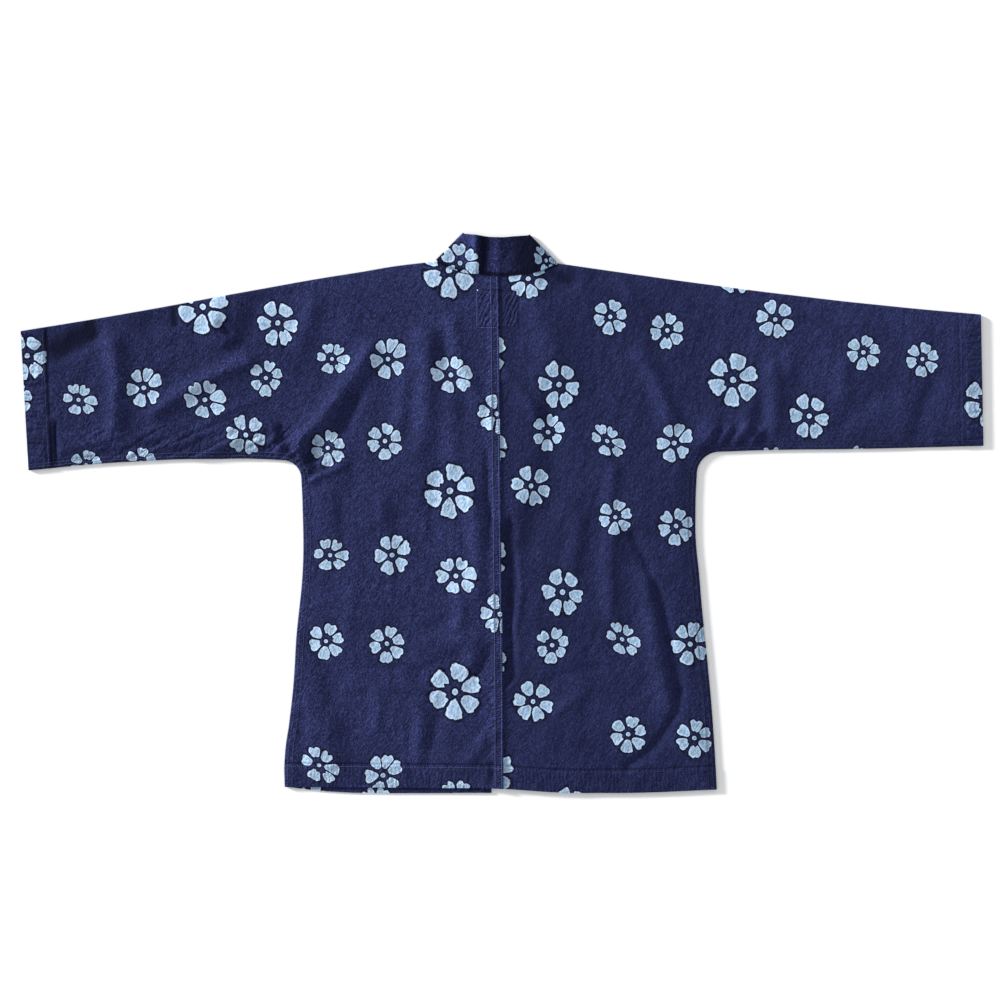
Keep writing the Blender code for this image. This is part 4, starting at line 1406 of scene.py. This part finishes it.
# Stitches
STITCH = 2.2
STITCH_PITCH = 3.0
FIRST_STITCH = 2.0  # from the end of the row
STITCH_WIDTH = 0.36
BOLD_STITCH_WIDTH = 0.68
STITCH_HEIGHT = 0.35
STITCH_LIFT = 0.5  # its middle above the cloth, in shares of its height
# A loose white thread end at the label's upper left corner: its place on the chart, and its ends from there
THREAD_END = (477.7, 290.6)
THREAD_END_REACH = [(-2.4, 2.4), (2.0, -2.0)]
THREAD_END_WIDTH = 2.2
# Profile of a stitch: place along it from end to end, share of its width
STITCH_PROFILE = [(0.0, 0.3), (0.5, 1.0), (1.0, 0.3)]
STITCH_SIDES = 5
# Where the rows of stitches run, in millimetres from the edge
MIDDLE_ROWS = (2.0, 10.8)
HEM_ROW = 29.5
CUFF_ROW = 29.5
CLOSED_ROWS = (0.7, 2.3)  # in grid steps from the side and underarm
HEM_START = 2  # how many grid steps beside the lap the lower half's hem row starts
# How far from the middle seam the label's lower row ends on each half
LABEL_ROW_END = {-1: -1.0, 1: 0.5}
LABEL_ROW_POINTS = 14


def grid_line(surface, column=None, row=None):
    """The line of a grid at a column or row that may lie between two of its own."""
    grid = surface if row is None else surface.swapaxes(0, 1)
    at = column if row is None else row
    low = int(at)
    return grid[low] + (at - low) * (grid[low + 1] - grid[low])


def stitches_along(line):
    """Stitches along a line of points: their middles and their ways."""
    line = line[~np.isnan(line).any(axis=1)]
    lengths = np.concatenate([[0.0], np.cumsum(np.linalg.norm(np.diff(line, axis=0), axis=1))])
    starts = np.arange(FIRST_STITCH, lengths[-1] - STITCH, STITCH_PITCH)

    def at(where):
        return np.column_stack([np.interp(where, lengths, line[:, n]) for n in range(3)])

    first, last = at(starts), at(starts + STITCH)
    return (first + last) / 2, (last - first) / np.linalg.norm(last - first, axis=1)[:, None]


def make_stitches(name, lines, thread):
    """Stitches as one mesh of small raised spindles. lines pairs each line with its stitches' width."""
    found = [(*stitches_along(line), width) for line, width in lines]
    middles, ways = (np.concatenate([row[n] for row in found]) for n in (0, 1))
    width = np.concatenate([np.full(len(row[0]), row[2]) for row in found])[:, None]
    aside = np.column_stack([-ways[:, 1], ways[:, 0], np.zeros(len(ways))])
    aside /= np.linalg.norm(aside, axis=1)[:, None]
    above = np.cross(ways, aside)
    rings = []
    for place, share in STITCH_PROFILE:
        for angle in np.arange(STITCH_SIDES) * 2 * pi / STITCH_SIDES:
            rings.append(
                middles
                + ways * (place - 0.5) * STITCH
                + aside * cos(angle) * share * width / 2
                + above * (sin(angle) * share * STITCH_HEIGHT + STITCH_HEIGHT * STITCH_LIFT)
            )
    points = np.stack(rings, axis=1)
    count = points.shape[1]
    ring = np.arange(STITCH_SIDES)
    after = (ring + 1) % STITCH_SIDES
    faces = []
    for here in range(0, count - STITCH_SIDES, STITCH_SIDES):
        there = here + STITCH_SIDES
        faces += list(zip(here + ring, here + after, there + after, there + ring))
    faces += [ring[::-1], ring + count - STITCH_SIDES]
    all_faces = [tuple(int(v) + s * count for v in face) for s in range(len(points)) for face in faces]
    piece = made_of(name, points.reshape(-1, 3), all_faces, thread)
    piece.data.shade_smooth()
    return piece


def closed_line(surface, grids, steps_in):
    """A line that runs inside the side, round the armpit and along the underarm."""
    side = grid_line(surface, column=grids.side_column - steps_in)
    under = grid_line(surface, row=grids.armpit_row + steps_in)
    corner = grids.armpit_row + int(steps_in)
    return np.concatenate([side[:corner], under[grids.side_column - int(steps_in) :]])


def label_lines(half, surface):
    """The sides of the label's rectangle that lie on this half."""
    left, right, top, bottom = LABEL
    outer = left if half.side < 0 else right
    upper_corner, lower_corner = charted(outer, top), charted(outer, bottom)
    low = lower_corner[1]
    corners = [upper_corner, lower_corner, (middle(low) + LABEL_ROW_END[half.side], low)]
    lines = []
    for first, last in zip(corners, corners[1:]):
        flat = between(first, last, np.linspace(0.0, 1.0, LABEL_ROW_POINTS))
        lines.append(np.column_stack([flat, [height_at(surface, place) for place in flat]]))
    return lines


def height_at(surface, place):
    """Height of the back's nearest grid point."""
    known = surface.reshape(-1, 3)
    known = known[~np.isnan(known[:, 0])]
    return known[np.argmin(np.hypot(*(known[:, :2] - place).T))][2]


def thread_end(surface):
    """The short line that holds the one loose stitch at the label's corner."""
    places = np.array(charted(*THREAD_END)) + THREAD_END_REACH
    return np.column_stack([places, [height_at(surface, place) for place in places]])


def stitch_lines(half, grids, surface):
    """Every row of stitches on one half's back, with its stitches' width."""
    last = len(surface) - 1
    hem_step = HEM_WIDTH / HEM_ROWS
    cuff_step = CUFF_WIDTH / CUFF_COLUMNS
    lines = [
        grid_line(surface, row=HEM_ROW / hem_step),
        grid_line(surface, column=last - CUFF_ROW / cuff_step),
        *(closed_line(surface, grids, row) for row in CLOSED_ROWS),
    ]
    bold = []
    if not half.lies_under:
        bold = label_lines(half, surface)
        bold += [grid_line(surface, column=row * LAP_COLUMNS / LAP_WIDTH) for row in MIDDLE_ROWS]
    else:
        lines[0] = lines[0][LAP_COLUMNS + HEM_START :]
        lines += label_lines(half, surface)
    return [(line, STITCH_WIDTH) for line in lines] + [(line, BOLD_STITCH_WIDTH) for line in bold]


# The studio: a floor of white paper in a bright room, with a low sun from the upper left
FLOOR_SIZE = 60000.0
FLOOR_DROP = 0.2  # keeps the paper clear of the cloth's underside
ROOM_LIGHT = (0.97, 0.98, 1.0, 1.0)
ROOM_STRENGTH = 0.73
SUN_STRENGTH = 6.75
SUN_WIDTH = 9.0  # degrees across, which sets how soft the shadows are
SUN_ELEVATION = 14.0
SUN_AZIMUTH = 155.0  # from +X towards +Y
CAMERA_LENS = 100.0
CAMERA_SENSOR = 36.0
VIEW_WIDTH = 1420.0  # what the frame takes in at the cloth's level
CLOTH_LEVEL = 4.0
FRAME_MIDDLE = (500, 500)  # on the chart


def make_studio():
    """The floor, the room's light, the sun and the camera."""
    scene = bpy.context.scene
    paper, _, _ = new_material("white_backdrop_paper", {"Base Color": colour_of("F4F4F4"), "Roughness": 0.95})
    corners = np.array([(-1, -1, 0), (1, -1, 0), (1, 1, 0), (-1, 1, 0)]) * FLOOR_SIZE / 2
    floor = made_of("floor", corners, [(0, 1, 2, 3)], paper)
    floor.location.z = -FLOOR_DROP * MM

    world = bpy.data.worlds.new("soft_room")
    world.use_nodes = True
    world.node_tree.nodes["Background"].inputs["Color"].default_value = ROOM_LIGHT
    world.node_tree.nodes["Background"].inputs["Strength"].default_value = ROOM_STRENGTH
    scene.world = world

    sun = bpy.data.lights.new("window", "SUN")
    sun.energy = SUN_STRENGTH
    sun.angle = radians(SUN_WIDTH)
    window = placed("window", sun)
    window.rotation_euler = Euler((0.0, radians(90 - SUN_ELEVATION), radians(SUN_AZIMUTH)))

    lens = bpy.data.cameras.new("camera")
    lens.lens = CAMERA_LENS
    lens.sensor_width = CAMERA_SENSOR
    camera = placed("camera", lens)
    x, y = charted(*FRAME_MIDDLE)
    distance = VIEW_WIDTH * CAMERA_LENS / CAMERA_SENSOR
    camera.location = (x * MM, y * MM, (distance + CLOTH_LEVEL) * MM)
    scene.camera = camera
    scene.view_settings.view_transform = "Standard"


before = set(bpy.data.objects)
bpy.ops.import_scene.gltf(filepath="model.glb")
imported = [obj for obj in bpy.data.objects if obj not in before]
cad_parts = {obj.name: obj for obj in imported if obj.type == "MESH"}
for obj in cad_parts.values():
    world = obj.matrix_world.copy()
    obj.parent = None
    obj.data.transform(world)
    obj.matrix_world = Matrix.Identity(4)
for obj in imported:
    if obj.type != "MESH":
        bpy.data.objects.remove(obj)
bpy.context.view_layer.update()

petal = petal_shape()
cottons = {name: resist_printed_cotton("indigo_cotton_" + name, petal, *row) for name, row in COTTONS.items()}
white_thread = sewing_cotton("white_sewing_cotton", "D8DCE6")
# The right half's thread is painted darker than the left's, as painted shade like the right half's cloth
threads = {
    "left": sewing_cotton("indigo_sewing_cotton", "6670AE"),
    "right": sewing_cotton("dark_indigo_sewing_cotton", "3A4176"),
}

outlines = {half.side: Outline(half) for half in (LEFT, RIGHT)}
prints = {
    "left": [back_flowers(LEFT_FLOWERS), front_flowers(LEFT_FLOWERS, outlines[-1], LEFT_FRONT_FLOWERS)],
    "right": [back_flowers(RIGHT_FLOWERS), front_flowers(RIGHT_FLOWERS, outlines[1])],
}
for word, half in (("left", LEFT), ("right", RIGHT)):
    outline = outlines[half.side]
    grids = half_grids(outline)
    piece, surface = make_half(half, outline, grids, cottons[word], prints[word])
    extra = [make_stitches("stitches_" + word, stitch_lines(half, grids, surface), threads[word])]
    if not half.lies_under:
        extra.append(make_stitches("thread_end", [(thread_end(surface), THREAD_END_WIDTH)], white_thread))
    for made in (piece, *extra):
        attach(made, "root")
    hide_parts(half.name)

collar = make_collar(outlines, cottons["collar"], [back_flowers(COLLAR_FLOWERS), []])
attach(collar, "root")
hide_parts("collar")

make_studio()
